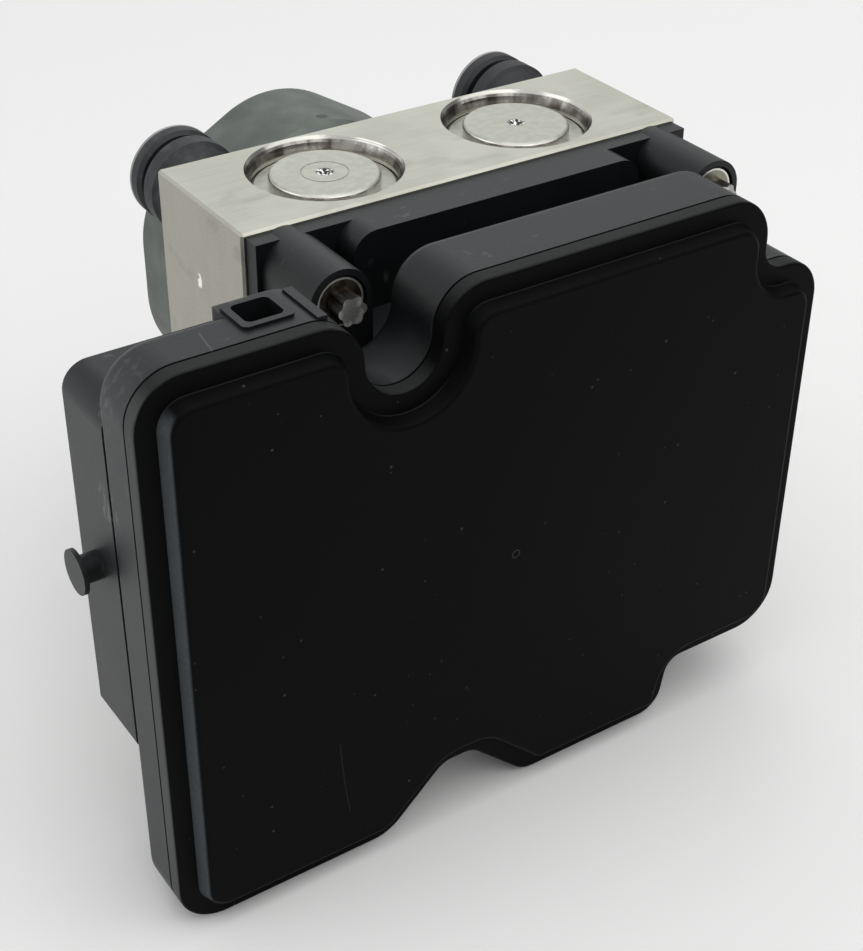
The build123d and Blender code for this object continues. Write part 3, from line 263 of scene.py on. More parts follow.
room_dim = (0.03, 0.03, 0.032)
room_bright = (0.5, 0.5, 0.5)
room_seen = (0.9, 0.9, 0.9)
world = bpy.data.worlds.new("studio")
scene.world = world
world.use_nodes = True
sky = Web(world.node_tree)
rays = ("Is Camera Ray", "Is Glossy Ray", "Is Transmission Ray")
camera_ray, glossy_ray, transmission_ray = [
    sky.node("ShaderNodeLightPath", output=ray) for ray in rays]
sky_x, sky_y, sky_z = sky.axes(sky.node("ShaderNodeTexCoord", output="Generated"))
bright_side = (sky_z * 0.5 + sky_y * 0.5 - sky_x * 0.45).rise(-0.75, 0.8)
seen = camera_ray + (glossy_ray + transmission_ray) * bright_side
room = sky.mix(bright_side, room_dim, room_bright)
backdrop = world.node_tree.nodes["Background"]
sky.feed(backdrop.inputs["Color"], sky.mix(seen.least(1.0), room, room_seen))

# A window behind the unit lights the top of the block, a smaller one on its left lights that
# side, and a wide soft ceiling fills the rest. Each has its place, size, power and colour.
lamps = {
    "window": ((0.6, 1.05, 0.7), 1.0, 1.5, (0.97, 0.99, 1.0)),
    "left": ((-1.0, 0.25, 0.4), 0.8, 1.9, (0.96, 0.98, 1.0)),
    "ceiling": ((0.25, -0.55, 1.2), 2.4, 21.0, (1.0, 0.995, 0.985)),
}
for name, (spot, size, power, colour) in lamps.items():
    light = bpy.data.lights.new(name, "AREA")
    light.shape = "SQUARE"
    light.size = size
    light.energy = power
    light.color = colour
    lamp = bpy.data.objects.new(name, light)
    aimed = (-Vector(spot)).to_track_quat("-Z", "Y").to_matrix().to_4x4()
    lamp.matrix_world = Matrix.Translation(spot) @ aimed
    scene.collection.objects.link(lamp)

# The valve block is milled from drawn aluminium bar and left bare. The cutter leaves fine lines
# along its top, the sawn left face is warmer and duller, and the accumulators' mouths are turned
# bright, with fine turning rings and a streaky dark band round their walls that is a painted
# reflection of the dim room.
cap_x = 23.0
cap_y = -33.3
left_cap = (-cap_x, cap_y, 0)
right_cap = (cap_x, cap_y, 0)
without_z = (1, 1, 0)
left_end = -50.9
mouth_radius = 15.75
mouth_floor = 4.0
reflection_band_low, reflection_band_high = 6.9, 8.7
nick_spot = (-51.0, -32.8, -8.0)
milled_dull, milled_bright = (0.4, 0.4, 0.345), (0.48, 0.48, 0.42)
sawn_dull, sawn_bright = (0.32, 0.305, 0.262), (0.4, 0.382, 0.33)
cutter_line = (0.6, 0.6, 0.53)
turned_wall = (0.6, 0.59, 0.55)
ring_and_reflection_dark = (0.07, 0.06, 0.05)
fresh_metal = (0.95, 0.94, 0.9)
finger_mark = (0.2, 0.2, 0.18)
block = Finish("block_aluminium")
out_x, _, out_z = block.facing()
here_x, _, here_z = block.axes(block.place())
on_top = out_z.rise(0.7, 0.9)
on_left = (-out_x).rise(0.7, 0.9) * (1 - here_x.rise(left_end, left_end + 0.2))
lines = block.noise(0.35, 3, (0.02, 1, 1))
patches = block.noise(14, 3)
top_shade = block.mix(patches.rise(0.3, 0.75), milled_dull, milled_bright)
side_shade = block.mix(block.noise(5, 3, (1, 1, 0.3)), sawn_dull, sawn_bright)
shade = block.mix(on_left, top_shade, side_shade)
shade = block.mix(lines.rise(0.35, 0.8) * 0.35, shade, cutter_line)
from_caps = block.nearer(right_cap, left_cap, without_z)
in_wall = 1 - from_caps.rise(mouth_radius, mouth_radius + 0.1)
in_mouth = in_wall * here_z.rise(mouth_floor, mouth_floor + 0.2) * (1 - on_top)
rings = block.noise(0.5, 2, (0.02, 0.02, 1), shift=4.0)
reflection_streaks = block.noise(3.5, 3, (1, 1, 0.2), shift=15.0)
# A streaky dark band round each mouth's wall is a painted reflection; the rings are turning
# marks.
painted_reflection_band = here_z.band(reflection_band_low, reflection_band_high, 0.3)
painted_reflection_band = painted_reflection_band * (0.45 + reflection_streaks.rise(0.35, 0.6) * 0.5)
rings_and_painted_reflection = painted_reflection_band.most(rings.rise(0.55, 0.65) * 0.5)
shade = block.mix(in_mouth, shade, turned_wall)
shade = block.mix(in_mouth * rings_and_painted_reflection, shade, ring_and_reflection_dark)
ragged = block.noise(0.9, 3) * 2.6
nick = 1 - (block.away(nick_spot, (1, 1.2, 0.7)) + ragged).rise(2.1, 2.4)
shade = block.mix(nick, shade, fresh_metal)
smudge = block.noise(7, 4, (0.5, 1, 1), shift=21.0).rise(0.55, 0.75)
shade = block.mix(smudge * 0.35, shade, finger_mark)
block.coat(
    Base_Color=shade, Metallic=1.0,
    Roughness=0.34 + lines * 0.12 + patches * 0.06 - in_mouth * 0.24,
    Normal=block.bump(lines * 0.02 + nick * 0.08))
block.on("valve_block")

# The brake pipes' ports and the mounts' inserts are tapped. Each thread is one helical ridge of
# triangular section along the wall of its hole, the same for every hole of a size.


class Pattern(Web):
    """A Geometry Nodes tree with named inputs. Each run of it makes one plain mesh."""

    def __init__(self, name, **inputs):
        group = bpy.data.node_groups.new(name, "GeometryNodeTree")
        super().__init__(group)
        for way in ("INPUT", "OUTPUT"):
            group.interface.new_socket(
                "Geometry", in_out=way, socket_type="NodeSocketGeometry")
        self.ends = {}
        for label, kind in inputs.items():
            socket = group.interface.new_socket(
                label, in_out="INPUT", socket_type="NodeSocket" + kind)
            self.ends[label] = socket.identifier
        self.source = group.nodes.new("NodeGroupInput")

    def given(self, label):
        """One of the tree's own inputs."""
        return Wire(self, self.source.outputs[label])

    def helix(self, height, steps, section_radius, section_sides):
        """Ends the tree with a rod wound up a helix of its Radius and Turns, on each point."""
        path = self.node("GeometryNodeCurveSpiral", inputs={
            "Resolution": steps, "Rotations": self.given("Turns"),
            "Start Radius": self.given("Radius"), "End Radius": self.given("Radius"),
            "Height": height, "Reverse": False})
        level_path = self.node("GeometryNodeSetCurveNormal", {"mode": "Z_UP"}, {"Curve": path})
        section = self.node("GeometryNodeCurvePrimitiveCircle", inputs={
            "Resolution": section_sides, "Radius": section_radius})
        rod = self.node("GeometryNodeCurveToMesh", inputs={
            "Curve": level_path, "Profile Curve": section, "Fill Caps": True})
        self.close(self.node("GeometryNodeInstanceOnPoints", inputs={
            "Points": self.given("Geometry"), "Instance": rod,
            "Rotation": self.given("Turned")}))

    def close(self, copies):
        """Ends the tree: the copies become one mesh with the material that it is given."""
        whole = self.node("GeometryNodeRealizeInstances", inputs={"Geometry": copies})
        coated = self.node("GeometryNodeSetMaterial", inputs={
            "Geometry": whole, "Material": self.given("Material")})
        end = self.tree.nodes.new("NodeGroupOutput")
        self.feed(end.inputs["Geometry"], coated)

    def grow(self, name, spots, **values):
        """Runs the tree on points in millimetres, with its sizes in metres."""
        seeds = bpy.data.meshes.new(name + "_spots")
        seeds.from_pydata([tuple(v / 1000 for v in spot) for spot in spots], [], [])
        maker = bpy.data.objects.new(name + "_maker", seeds)
        scene.collection.objects.link(maker)
        modifier = maker.modifiers.new("pattern", "NODES")
        modifier.node_group = self.tree
        for label, value in values.items():
            modifier[self.ends[label]] = value
        graph = bpy.context.evaluated_depsgraph_get()
        mesh = bpy.data.meshes.new_from_object(maker.evaluated_get(graph), depsgraph=graph)
        maker.modifiers.remove(modifier)
        bpy.data.objects.remove(maker)
        shell = bmesh.new()
        shell.from_mesh(mesh)
        bmesh.ops.recalc_face_normals(shell, faces=shell.faces)
        shell.to_mesh(mesh)
        shell.free()
        mesh.name = name
        piece = bpy.data.objects.new(name, mesh)
        scene.collection.objects.link(piece)
        return piece


thread_steps = 28
ridge_share = 0.42
thread = Pattern(
    "tapped_thread", Radius="Float", Pitch="Float", Turns="Float", Turned="Vector",
    Material="Material")
thread.helix(
    height=thread.given("Turns") * thread.given("Pitch"), steps=thread_steps,
    section_radius=thread.given("Pitch") * ridge_share, section_sides=3)
towards_front = (math.pi / 2, 0.0, 0.0)
upwards = (0.0, 0.0, 0.0)
wheel_ports = [(x, -28.0, -86.8) for x in (-33.0, -11.0, 11.0, 33.0)]
master_ports = [(x, -18.7, -66.5) for x in (-35.0, 35.0)]
tapped = Finish("tapped_aluminium")
tapped.grained(
    tapped.noise(0.3, 3), dull=(0.4, 0.395, 0.37), bright=(0.55, 0.545, 0.52),
    smooth=0.28, rougher=0.15, height=0.01, Metallic=1.0)
wheel_threads = thread.grow(
    "wheel_port_threads", wheel_ports, Radius=0.0044, Pitch=0.001, Turns=9.0, Turned=upwards,
    Material=tapped.material)
master_threads = thread.grow(
    "master_port_threads", master_ports, Radius=0.0054, Pitch=0.001, Turns=9.5,
    Turned=towards_front, Material=tapped.material)
for piece in (wheel_threads, master_threads):
    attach(piece, "root")

# The accumulator caps are pressed aluminium cups, satin from the press and mottled by handling,
# with a bright drawn wall. Each is staked in its middle by a punch, and its pit is darkened with
# painted shade and flecked with painted glints.
pit_radius = 1.7
disc_dull, disc_bright = (0.39, 0.398, 0.345), (0.46, 0.468, 0.41)
drawn_wall = (0.85, 0.84, 0.81)
pit_painted_shade, pit_painted_glint = (0.04, 0.04, 0.035), (0.9, 0.89, 0.86)
cap = Finish("cap_aluminium")
mottle = cap.noise(1.6, 4)
fine = cap.noise(0.25, 2, shift=7.0)
from_middle = cap.nearer(right_cap, left_cap, without_z)
pit = 1 - (from_middle + fine * 0.5).rise(pit_radius, pit_radius + 0.6)
painted_glint_flecks = cap.noise(0.7, 3, shift=17.0).rise(0.5, 0.58)
wall = 1 - cap.facing()[2].rise(0.35, 0.75)
disc_shade = cap.mix(mottle.rise(0.3, 0.7), disc_dull, disc_bright)
disc_shade = cap.mix(wall, disc_shade, drawn_wall)
# Painted shade and painted glints in and round the punch pit.
pit_painted_light = cap.mix(painted_glint_flecks, pit_painted_shade, pit_painted_glint)
cap.coat(
    Base_Color=cap.mix(pit, disc_shade, pit_painted_light), Metallic=1.0,
    Roughness=0.36 + mottle * 0.14 - wall * 0.24,
    Normal=cap.bump(mottle * 0.012 + fine * 0.01 + painted_glint_flecks * pit * 0.08))
cap.on("accumulator_cap_left", "accumulator_cap_right")

# Each accumulator holds a turned aluminium piston with a rubber ring in its groove. The same
# rubber seals the motor and the control unit.
piston = Finish("inner_aluminium")
piston.grained(
    piston.noise(0.4, 2, (0.02, 0.02, 1)), dull=(0.5, 0.5, 0.49), bright=(0.62, 0.62, 0.6),
    smooth=0.22, rougher=0.2, height=0.01, Metallic=1.0)
piston.on("accumulator_piston_left", "accumulator_piston_right")
ring = Finish("seal_rubber")
ring.grained(
    ring.noise(1.5, 3), dull=(0.01, 0.01, 0.011), bright=(0.025, 0.025, 0.026),
    smooth=0.3, rougher=0.25)
ring.on("accumulator_seal_left", "accumulator_seal_right", "motor_seal", "ecu_gasket")

# Each piston is pushed by a coil spring of hard-drawn round wire, which in the unit shortens as
# its piston moves; each one here is built at the fixed length of its CAD spring. Their sizes are
# in metres, as the boxes of the CAD springs are.
spring_turns = 3.5
spring_steps = 40
wire_sides = 14
accumulator_wire, accumulator_stroke = 0.0009, 0.007
pump_wire, pump_stroke = 0.0005, 0.002
spring = Pattern(
    "coil_spring", Radius="Float", Wire="Float", Length="Float", Turns="Float", Turned="Vector",
    Material="Material")
spring.helix(
    height=spring.given("Length") - spring.given("Wire") * 2, steps=spring_steps,
    section_radius=spring.given("Wire"), section_sides=wire_sides)
wire = Finish("spring_steel")
wire.grained(
    wire.noise(0.5, 3), dull=(0.22, 0.22, 0.23), bright=(0.4, 0.4, 0.41),
    smooth=0.25, rougher=0.2, Metallic=1.0)
wire.on("accumulator_spring_left", "accumulator_spring_right",
        "pump_spring_left", "pump_spring_right")
for side, sign in {"left": -1, "right": 1}.items():
    low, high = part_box(f"accumulator_spring_{side}")
    length = high[2] - low[2]
    piece = spring.grow(
        f"accumulator_coil_{side}",
        [(sign * cap_x, cap_y, (low[2] + accumulator_wire) * 1000)],
        Radius=(high[0] - low[0]) / 2 - accumulator_wire, Wire=accumulator_wire, Length=length,
        Turns=spring_turns, Turned=upwards, Material=wire.material)
    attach(piece, "root")
    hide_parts(f"accumulator_spring_{side}")
    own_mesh(piece)
    low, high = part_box(f"pump_spring_{side}")
    length = high[0] - low[0]
    middle_y = (low[1] + high[1]) / 2
    middle_z = (low[2] + high[2]) / 2
    inner, outer = (low[0], high[0]) if sign > 0 else (high[0], low[0])
    piece = spring.grow(
        f"pump_coil_{side}",
        [((inner + sign * pump_wire) * 1000, middle_y * 1000, middle_z * 1000)],
        Radius=(high[2] - low[2]) / 2 - pump_wire, Wire=pump_wire, Length=length,
        Turns=spring_turns, Turned=(0.0, sign * math.pi / 2, 0.0), Material=wire.material)
    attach(piece, "root")
    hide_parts(f"pump_spring_{side}")
    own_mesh(piece)

# The pump has two ground steel pistons driven by a ring that rolls on the shaft's eccentric.
# Each bore is closed from the block's side by a screwed aluminium plug with a key hole.
ground = Finish("ground_steel")
grinding = ground.noise(0.2, 3, (0.2, 1, 1))
heat = ground.noise(6, 2, shift=8.0)
ground.coat(
    Base_Color=ground.mix(heat, (0.5, 0.5, 0.5), (0.6, 0.59, 0.56)), Metallic=1.0,
    Roughness=0.14 + grinding * 0.14, Normal=ground.bump(grinding * 0.004))
ground.on("pump_piston_left", "pump_piston_right", "cam_ring", "motor_shaft")
plug = Finish("plug_aluminium")
plug.grained(
    plug.noise(0.5, 2, (1, 0.05, 0.05)), dull=(0.4, 0.4, 0.38), bright=(0.55, 0.55, 0.53),
    smooth=0.3, rougher=0.2, height=0.015, Metallic=1.0)
plug.on("pump_plug_left", "pump_plug_right")

# The motor can is deep-drawn steel with a dull zinc plating that has mottled with age. A small
# dimple in its top stakes a magnet and is darkened with painted shade, and its ears are screwed
# to the block.
stake_spot = (2.1, 10.4, -0.74)
stake_radius = 1.0
zinc_dull, zinc_bright = (0.115, 0.129, 0.118), (0.165, 0.181, 0.166)
stake_painted_shade = (0.05, 0.055, 0.05)
can = Finish("plated_steel")
cloud = can.noise(9, 4)
grain = can.noise(0.6, 3, shift=3.0)
# The dimple's dark colour is painted shade.
stake = 1 - can.away(stake_spot).rise(stake_radius, stake_radius + 0.6)
can_shade = can.mix(cloud.rise(0.3, 0.75), zinc_dull, zinc_bright)
can.coat(
    Base_Color=can.mix(stake * 0.7, can_shade, stake_painted_shade), Metallic=0.85,
    Roughness=0.5 + grain * 0.14, Normal=can.bump(grain * 0.015 - stake * 0.2))
can.on("motor_can")
plate = Finish("end_plate_steel")
plate.grained(
    plate.noise(3, 3), dull=(0.34, 0.34, 0.32), bright=(0.45, 0.45, 0.42),
    smooth=0.35, rougher=0.15, Metallic=0.9)
plate.on("motor_end_plate", "screw_sleeves", "motor_screws", "ecu_rear_screws")

# Inside the can sit six ferrite magnets, and on the shaft a core of thin steel sheets with
# enamelled copper wire in its slots. The sheets show as fine lines round the core.
sheet_thickness = 0.5
wire_pitch = 0.8
full_turn = 2 * math.pi
magnet = Finish("ferrite")
magnet.grained(
    magnet.noise(0.4, 4), dull=(0.03, 0.03, 0.032), bright=(0.06, 0.06, 0.062),
    smooth=0.55, rougher=0.25, height=0.03, Metallic=0.2)
magnet.on("motor_magnets")
core = Finish("lamination_steel")
core_y = core.axes(core.place())[1]
sheets = (core_y * (full_turn / sheet_thickness)).sine() * 0.5 + 0.5
core.grained(
    sheets, dull=(0.16, 0.155, 0.15), bright=(0.36, 0.355, 0.35),
    smooth=0.3, rougher=0.2, height=0.04, Metallic=0.9)
core.on("rotor_core")
copper = Finish("copper")
copper_x, copper_y, copper_z = copper.axes(copper.place())
wound_along = copper_x + copper_y * 1.5 + copper_z
strands = (wound_along * (full_turn / wire_pitch)).sine() * 0.5 + 0.5
copper.grained(
    strands, dull=(0.3, 0.09, 0.035), bright=(0.62, 0.24, 0.1),
    smooth=0.22, rougher=0.15, height=0.1, Metallic=0.9, Coat_Weight=0.5 + strands * 0.3)
copper.on("rotor_windings", "commutator", "coil_terminals")

# Two carbon brushes slide in boxes on a moulded carrier and press on the commutator. The shaft
# turns in three sintered bronze bushes, and a moulded plug carries the motor's two leads through
# the block.
carbon = Finish("carbon")
carbon.grained(
    carbon.noise(0.3, 4), dull=(0.02, 0.02, 0.021), bright=(0.05, 0.048, 0.046),
    smooth=0.45, rougher=0.3, Metallic=0.3)
carbon.on("motor_brushes")
carrier = Finish("inner_plastic")
carrier.grained(
    carrier.noise(4, 3), dull=(0.035, 0.034, 0.033), bright=(0.055, 0.054, 0.05),
    smooth=0.4, rougher=0.15)
carrier.on("brush_carrier", "motor_plug")
bronze = Finish("bronze")
bronze.grained(
    bronze.noise(0.25, 3), dull=(0.32, 0.2, 0.09), bright=(0.5, 0.34, 0.17),
    smooth=0.3, rougher=0.25, height=0.02, Metallic=0.95)
bronze.on("front_bush", "rear_bush", "nose_bush")

# The unit hangs on two rubber mounts, each moulded on a turned steel insert that is screwed into
# the block and tapped at its outer end. The rubber is black and a little dusty, the left one
# more than the right.
mount_holes = [(x, -0.6, 0.0) for x in (-39.5, 39.5)]
rubber_black = (0.006, 0.008, 0.01)
rubber_dusty = (0.06, 0.064, 0.068)
rubber = Finish("mount_rubber")
dust = rubber.noise(2.5, 4)
left_mount = 1 - rubber.axes(rubber.place())[0].rise(-5.0, 5.0)
dusty = dust.rise(0.45, 0.85) * (0.35 + left_mount * 0.65)
rubber.coat(
    Base_Color=rubber.mix(dusty, rubber_black, rubber_dusty), Roughness=0.5 + dust * 0.2,
    Normal=rubber.bump(rubber.noise(0.4, 3) * 0.02))
rubber.on("mount_rubber_left", "mount_rubber_right")
insert = Finish("insert_steel")
insert.grained(
    insert.noise(0.5, 3), dull=(0.24, 0.245, 0.24), bright=(0.36, 0.365, 0.355),
    smooth=0.35, rougher=0.2, Metallic=1.0)
insert.on("mount_insert_left", "mount_insert_right")
mount_threads = thread.grow(
    "mount_threads", mount_holes, Radius=0.00245, Pitch=0.0008, Turns=13.0,
    Turned=towards_front, Material=insert.material)
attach(mount_threads, "root")

# The control unit's housing is one black moulding in glass-filled plastic, satin. The faces that
# look up carry a pale haze that is partly dust and partly painted light, the faces that look left
# carry painted light, and the tray's top left corner a painted sheen. It has scuffs on its left
# side, a thin witness line across the top of the tray, and a painted shadow along a slit low on
# its left side.
upper_scuff = (-92.9, -80.3, 1.9)
lower_scuff = (-92.9, -79.0, -17.8)
sheen_spot = (-90.5, -82.0, 7.5)
witness_x, witness_y, witness_slope = -76.2, -86.3, 0.13
witness_end = -83.0
slit_y, slit_bottom, slit_top = -79.0, -70.8, -59.2
left_limit = -84.0
moulded_dark, moulded_light = (0.004, 0.0045, 0.0055), (0.009, 0.01, 0.011)
top_dust_and_painted_light = (0.034, 0.04, 0.046)
left_painted_light = (0.05, 0.055, 0.06)
scuff_shade = (0.16, 0.16, 0.155)
corner_sheen_colour = (0.09, 0.093, 0.098)
witness_shade = (0.12, 0.12, 0.12)
slit_painted_shadow = (0.001, 0.001, 0.001)
fibre_flow = (1, 1, 0.35)
housing = Finish("housing_plastic")
side_x, side_y, side_z = housing.axes(housing.place())
up_face = housing.facing()[2].rise(0.5, 0.95)
left_face = (-housing.facing()[0]).rise(0.5, 0.95)
left_face = left_face * (1 - side_x.rise(left_limit, left_limit + 4.0))
haze = housing.noise(18, 4)
pores = housing.noise(0.5, 3, shift=5.0)
rubbed = housing.noise(1.2, 5, fibre_flow, shift=11.0).rise(0.5, 0.7)
handled = housing.noise(3.0, 5, fibre_flow, shift=13.0).rise(0.64, 0.75)
scuffed = 1 - housing.nearer(upper_scuff, lower_scuff).rise(2.0, 5.5)
# A painted sheen on the tray's top left corner.
corner_painted_sheen = 1 - housing.away(sheen_spot, (1, 0.8, 1)).rise(3.0, 9.5)
off_line = side_x - witness_x - (side_y - witness_y) * witness_slope
witness = off_line.band(-0.08, 0.08, 0.1) * side_z.rise(11.0, 11.5)
witness = witness * (1 - side_y.rise(witness_end, witness_end + 0.5))
# A painted shadow along the slit low on the housing's left side.
slit_shadow_mask = (side_y - slit_y).band(-0.15, 0.15, 0.1) * side_z.band(slit_bottom, slit_top, 0.3)
slit_shadow_mask = slit_shadow_mask * (1 - side_x.rise(-92.5, -92.3))
housing_shade = housing.mix(haze, moulded_dark, moulded_light)
# Upward faces: partly dust, partly painted light. Leftward faces: painted light.
housing_shade = housing.mix(up_face * (0.08 + haze * 0.22), housing_shade, top_dust_and_painted_light)
housing_shade = housing.mix(left_face * (0.1 + haze * 0.3), housing_shade, left_painted_light)
marks = (scuffed * rubbed).most(handled * 0.3) * 0.7
housing_shade = housing.mix(marks, housing_shade, scuff_shade)
housing_shade = housing.mix(corner_painted_sheen * (0.2 + rubbed * 0.35), housing_shade, corner_sheen_colour)
housing_shade = housing.mix(witness * 0.5, housing_shade, witness_shade)
housing.coat(
    Base_Color=housing.mix(slit_shadow_mask, housing_shade, slit_painted_shadow),
    Roughness=0.34 + haze * 0.1 + pores * 0.08, Specular_IOR_Level=0.26,
    Normal=housing.bump(pores * 0.02))
housing.on("ecu_housing")

# The cover is moulded in the same plastic and welded on. Its face is matt, with specks of dust,
# one faint curved scratch low on the left and the small round mark of the moulding gate.
rim_front = -92.9
scratch_x, scratch_z = -58.45, -84.1
scratch_bottom, scratch_top = -93.0, -75.5
gate_spot = (-19.7, 0, -46.8)
without_y = (1, 0, 1)
gate_inner, gate_outer = 0.75, 0.9
face_level = -95.3
matt_dark, matt_light = (0.0012, 0.0014, 0.0015), (0.003, 0.0031, 0.003)
rim_top_dust_and_painted_light = (0.045, 0.049, 0.047)
rim_left_painted_light = (0.095, 0.1, 0.1)
bevel_painted_light = (0.078, 0.09, 0.1)
speck_shade = (0.2, 0.2, 0.19)
cover = Finish("cover_plastic")
cover_x, cover_y, cover_z = cover.axes(cover.place())
cover_up = cover.facing()[2].rise(0.5, 0.95)
cover_left = (-cover.facing()[0]).rise(0.5, 0.95)
cover_left = cover_left * (1 - cover_x.rise(left_limit, left_limit + 4.0))
on_edge = cover_y.rise(rim_front, rim_front + 0.5)
cover_haze = cover.noise(25, 4, shift=2.0)
cover_pores = cover.noise(0.4, 3, shift=9.0)
dots = cover.specks(1.3, 0.03).most(cover.specks(1.9, 0.03))
up_scratch = cover_z - scratch_z
off_scratch = cover_x - scratch_x + up_scratch * 0.1 - up_scratch * up_scratch * 0.0022
scratch = off_scratch.band(-0.05, 0.05, 0.12)
scratch = scratch * cover_z.band(scratch_bottom, scratch_top, 1.0)
gate = cover.away(gate_spot, without_y).band(gate_inner, gate_outer, 0.12)
gate = gate * (1 - cover_y.rise(face_level, face_level + 0.2))
bevel_light_share = 0.35 + cover_haze * 0.4 + cover.noise(0.8, 4, shift=6.0) * 0.5
cover_shade = cover.mix(cover_haze, matt_dark, matt_light)
# The rim's top side gets a pale haze that is partly dust and partly painted light; its left side
# gets painted light.
cover_shade = cover.mix(
    cover_up * on_edge * (0.3 + cover_haze * 0.45), cover_shade, rim_top_dust_and_painted_light)
cover_shade = cover.mix(
    cover_left * on_edge * (0.6 + cover_haze * 0.4), cover_shade, rim_left_painted_light)
# The left bevel of the face gets mottled painted light.
cover_shade = cover.mix(cover_left * (1 - on_edge) * bevel_light_share, cover_shade, bevel_painted_light)
cover_marks = (dots * 0.2).most(scratch * 0.07).most(gate * 0.14)
cover.coat(
    Base_Color=cover.mix(cover_marks, cover_shade, speck_shade),
    Roughness=0.42 + cover_haze * 0.08 + cover_pores * 0.08, Specular_IOR_Level=0.045,
    Normal=cover.bump(cover_pores * 0.015))
cover.on("ecu_cover")

# The circuit board is green glass laminate with copper tracks under the lacquer. Black packages
# sit on it, and tinned pins run from it into the connector shroud.
lacquer_green = (0.008, 0.05, 0.018)
track_green = (0.03, 0.13, 0.045)
board = Finish("board")
board_x, _, board_z = board.axes(board.place())
across = (board_x * 2.4 + board.noise(9, 1) * 6).sine().rise(0.75, 0.85)
lengthwise = (board_z * 2.1 + board.noise(11, 1, shift=6.0) * 6).sine().rise(0.75, 0.85)
region = board.noise(14, 1, shift=3.0).rise(0.48, 0.52)
tracks = across * region + lengthwise * (1 - region)
board.coat(
    Base_Color=board.mix(tracks, lacquer_green, track_green),
    Roughness=0.3 + board.noise(0.4, 2) * 0.15, Coat_Weight=0.25 + tracks * 0.1,
    Normal=board.bump(tracks * 0.03))
board.on("circuit_board")
package = Finish("chip_plastic")
package.grained(
    package.noise(0.3, 3), dull=(0.012, 0.012, 0.013), bright=(0.025, 0.025, 0.026),
    smooth=0.5, rougher=0.2)
package.on("board_chips")
tinned = Finish("pin_metal")
tinned.grained(
    tinned.noise(0.8, 3), dull=(0.5, 0.49, 0.46), bright=(0.68, 0.67, 0.63),
    smooth=0.22, rougher=0.2, Metallic=1.0)
tinned.on("connector_pins")

# Rows of small ceramic capacitors and resistors are soldered beside the packages. Each has a tan
# or black body and two tinned ends, and some places of the rows are left empty.
board_face = -88.6
bank_x, bank_z = 28.0, -76.0
bank_columns, bank_rows = 4, 19
column_pitch, row_pitch = 4.6, 3.2
part_height = 0.7
tinned_from = 0.55
resistor_black = (0.02, 0.02, 0.022)
ceramic_tan = (0.42, 0.27, 0.14)
tinned_end = (0.6, 0.59, 0.56)
small_parts = Pattern(
    "small_components", Length="Float", Width="Float", Height="Float", Filled="Float",
    Seed="Int", Material="Material")
chosen = small_parts.node("FunctionNodeRandomValue", {"data_type": "BOOLEAN"}, {
    "Probability": small_parts.given("Filled"), "Seed": small_parts.given("Seed")}, output=3)
part_size = small_parts.node("ShaderNodeCombineXYZ", inputs={
    0: small_parts.given("Length"), 1: small_parts.given("Height"),
    2: small_parts.given("Width")})
brick = small_parts.node("GeometryNodeMeshCube", inputs={"Size": part_size})
growth = small_parts.node("FunctionNodeRandomValue", {"data_type": "FLOAT"}, {
    2: 0.75, 3: 1.0, "Seed": small_parts.given("Seed") + 1}, output=1)
part_scale = small_parts.node("ShaderNodeCombineXYZ", inputs={0: growth, 1: 1.0, 2: growth})
small_parts.close(small_parts.node("GeometryNodeInstanceOnPoints", inputs={
    "Points": small_parts.given("Geometry"), "Selection": chosen, "Instance": brick,
    "Scale": part_scale}))
component = Finish("component_ceramic")
part_x = component.axes(component.place())[0]
along = component.node("ShaderNodeMath", {"operation": "WRAP"}, {
    0: part_x - bank_x, 1: column_pitch / 2, 2: -column_pitch / 2})
tip = abs(along).rise(tinned_from, tinned_from + 0.05)
sort = component.noise(6, 1, shift=1.0).rise(0.49, 0.5)
body_shade = component.mix(sort, resistor_black, ceramic_tan)
component.coat(
    Base_Color=component.mix(tip, body_shade, tinned_end), Metallic=tip * 0.9,
    Roughness=0.5 - tip * 0.2)
bank = [
    (bank_x + column * column_pitch, board_face - part_height / 2, bank_z + row * row_pitch)
    for column in range(bank_columns) for row in range(bank_rows)]
components = small_parts.grow(
    "board_components", bank, Length=0.002, Width=0.0012, Height=part_height / 1000,
    Filled=0.8, Seed=7, Material=component.material)
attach(components, "root")

# Four inlet and four outlet valves stand in two rows on the block's front. Each has a turned
# steel body with a thin sleeve, an armature with a pin inside it, and a coil of enamelled wire on
# a plastic bobbin around the sleeve.
coil_front, coil_back = -67.4, -54.6
bobbin_dull, bobbin_bright = (0.02, 0.02, 0.022), (0.035, 0.035, 0.036)
enamel_dark, enamel_bright = (0.22, 0.06, 0.03), (0.45, 0.16, 0.07)
valve = Finish("plated_valve_steel")
valve.grained(
    valve.noise(0.4, 2, (0.05, 1, 0.05)), dull=(0.45, 0.44, 0.4), bright=(0.6, 0.59, 0.55),
    smooth=0.2, rougher=0.15, height=0.01, Metallic=1.0)
valve.on("inlet_valves", "outlet_valves")
armature = Finish("armature_steel")
armature.grained(
    armature.noise(0.5, 2, (0.2, 1, 0.2)), dull=(0.4, 0.4, 0.4), bright=(0.52, 0.52, 0.51),
    smooth=0.16, rougher=0.15, Metallic=1.0)
armature.on(*[f"{row}_armature_{n}" for row in ("inlet", "outlet") for n in range(1, 5)])
coil = Finish("coil_plastic")
coil_y = coil.axes(coil.place())[1]
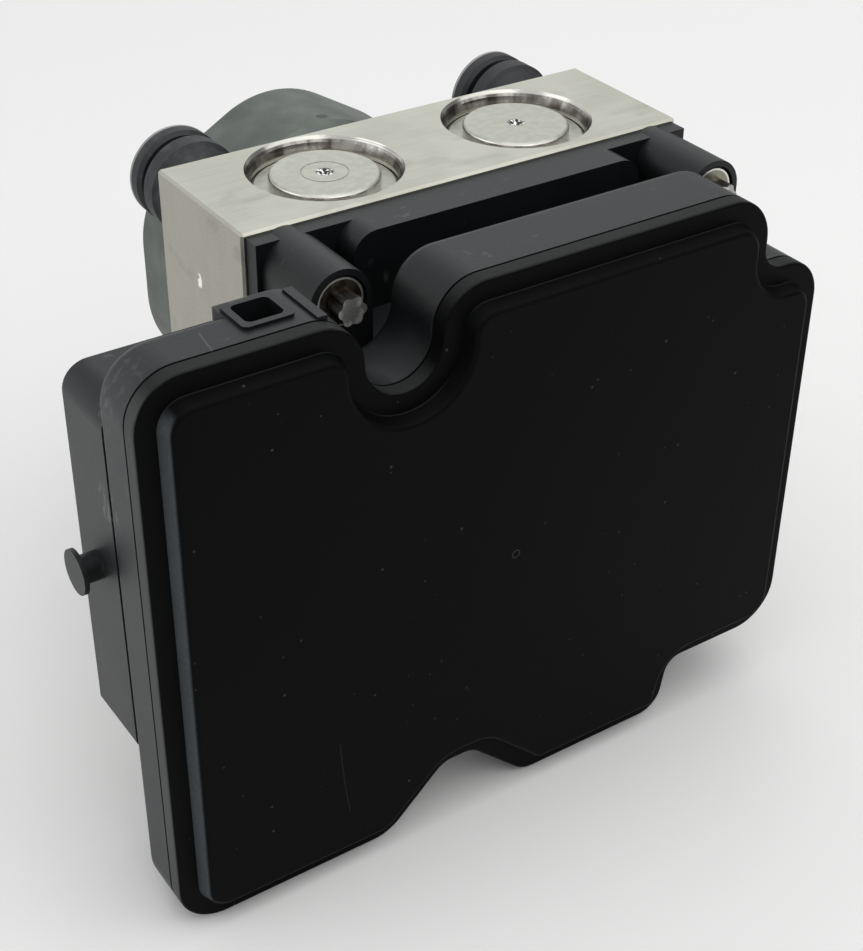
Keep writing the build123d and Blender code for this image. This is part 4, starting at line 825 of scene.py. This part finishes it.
turns = (coil_y * (full_turn / wire_pitch)).sine() * 0.5 + 0.5
wound = coil_y.band(coil_front, coil_back, 0.1)
bobbin_shade = coil.mix(coil.noise(3), bobbin_dull, bobbin_bright)
wire_shade = coil.mix(turns, enamel_dark, enamel_bright)
coil.coat(
    Base_Color=coil.mix(wound, bobbin_shade, wire_shade), Roughness=0.4 - wound * 0.12,
    Coat_Weight=wound * 0.5, Normal=coil.bump(turns * wound * 0.08))
coil.on("inlet_coils", "outlet_coils")

# The two flanged screws that hold the housing are plated steel. The left flange has browned more
# than the right, and the six-lobed heads are worn bright on their fronts, with painted shade on
# their sides.
left_axis = (-42.6, 0, 2.7)
right_axis = (43.8, 0, 2.7)
rim_radius = 4.3
flange_front = -72.6
browned_dark, browned_light = (0.06, 0.05, 0.04), (0.15, 0.125, 0.1)
plated_dark, plated_light = (0.2, 0.19, 0.15), (0.34, 0.33, 0.28)
bright_rim = (0.75, 0.74, 0.7)
head_side_painted_shade = (0.05, 0.048, 0.045)
head_dull, head_bright = (0.38, 0.38, 0.365), (0.85, 0.84, 0.8)
screw = Finish("flange_screw_steel")
screw_x, screw_y, _ = screw.axes(screw.place())
tarnish = screw.noise(1.2, 4)
flecked = screw.noise(2.2, 3, shift=5.0).rise(0.44, 0.62)
from_axis = screw.nearer(left_axis, right_axis, without_y)
flange_rim = from_axis.rise(rim_radius, rim_radius + 0.15)
on_head = 1 - screw_y.rise(flange_front, flange_front + 0.4)
on_right = screw_x.rise(-5.0, 5.0)
front_face = (-screw.facing()[1]).rise(0.6, 0.95)
browned = screw.mix(tarnish.rise(0.35, 0.7), browned_dark, browned_light)
flange_shade = screw.mix(on_right, browned, screw.mix(tarnish, plated_dark, plated_light))
flange_shade = screw.mix(flange_rim, flange_shade, bright_rim)
# The heads' sides get painted shade.
head_shade = screw.mix(front_face, head_side_painted_shade, screw.mix(flecked, head_dull, head_bright))
screw.coat(
    Base_Color=screw.mix(on_head, flange_shade, head_shade), Metallic=1.0,
    Roughness=0.3 + tarnish * 0.2, Normal=screw.bump(tarnish * 0.02))
screw.on("ecu_screws")
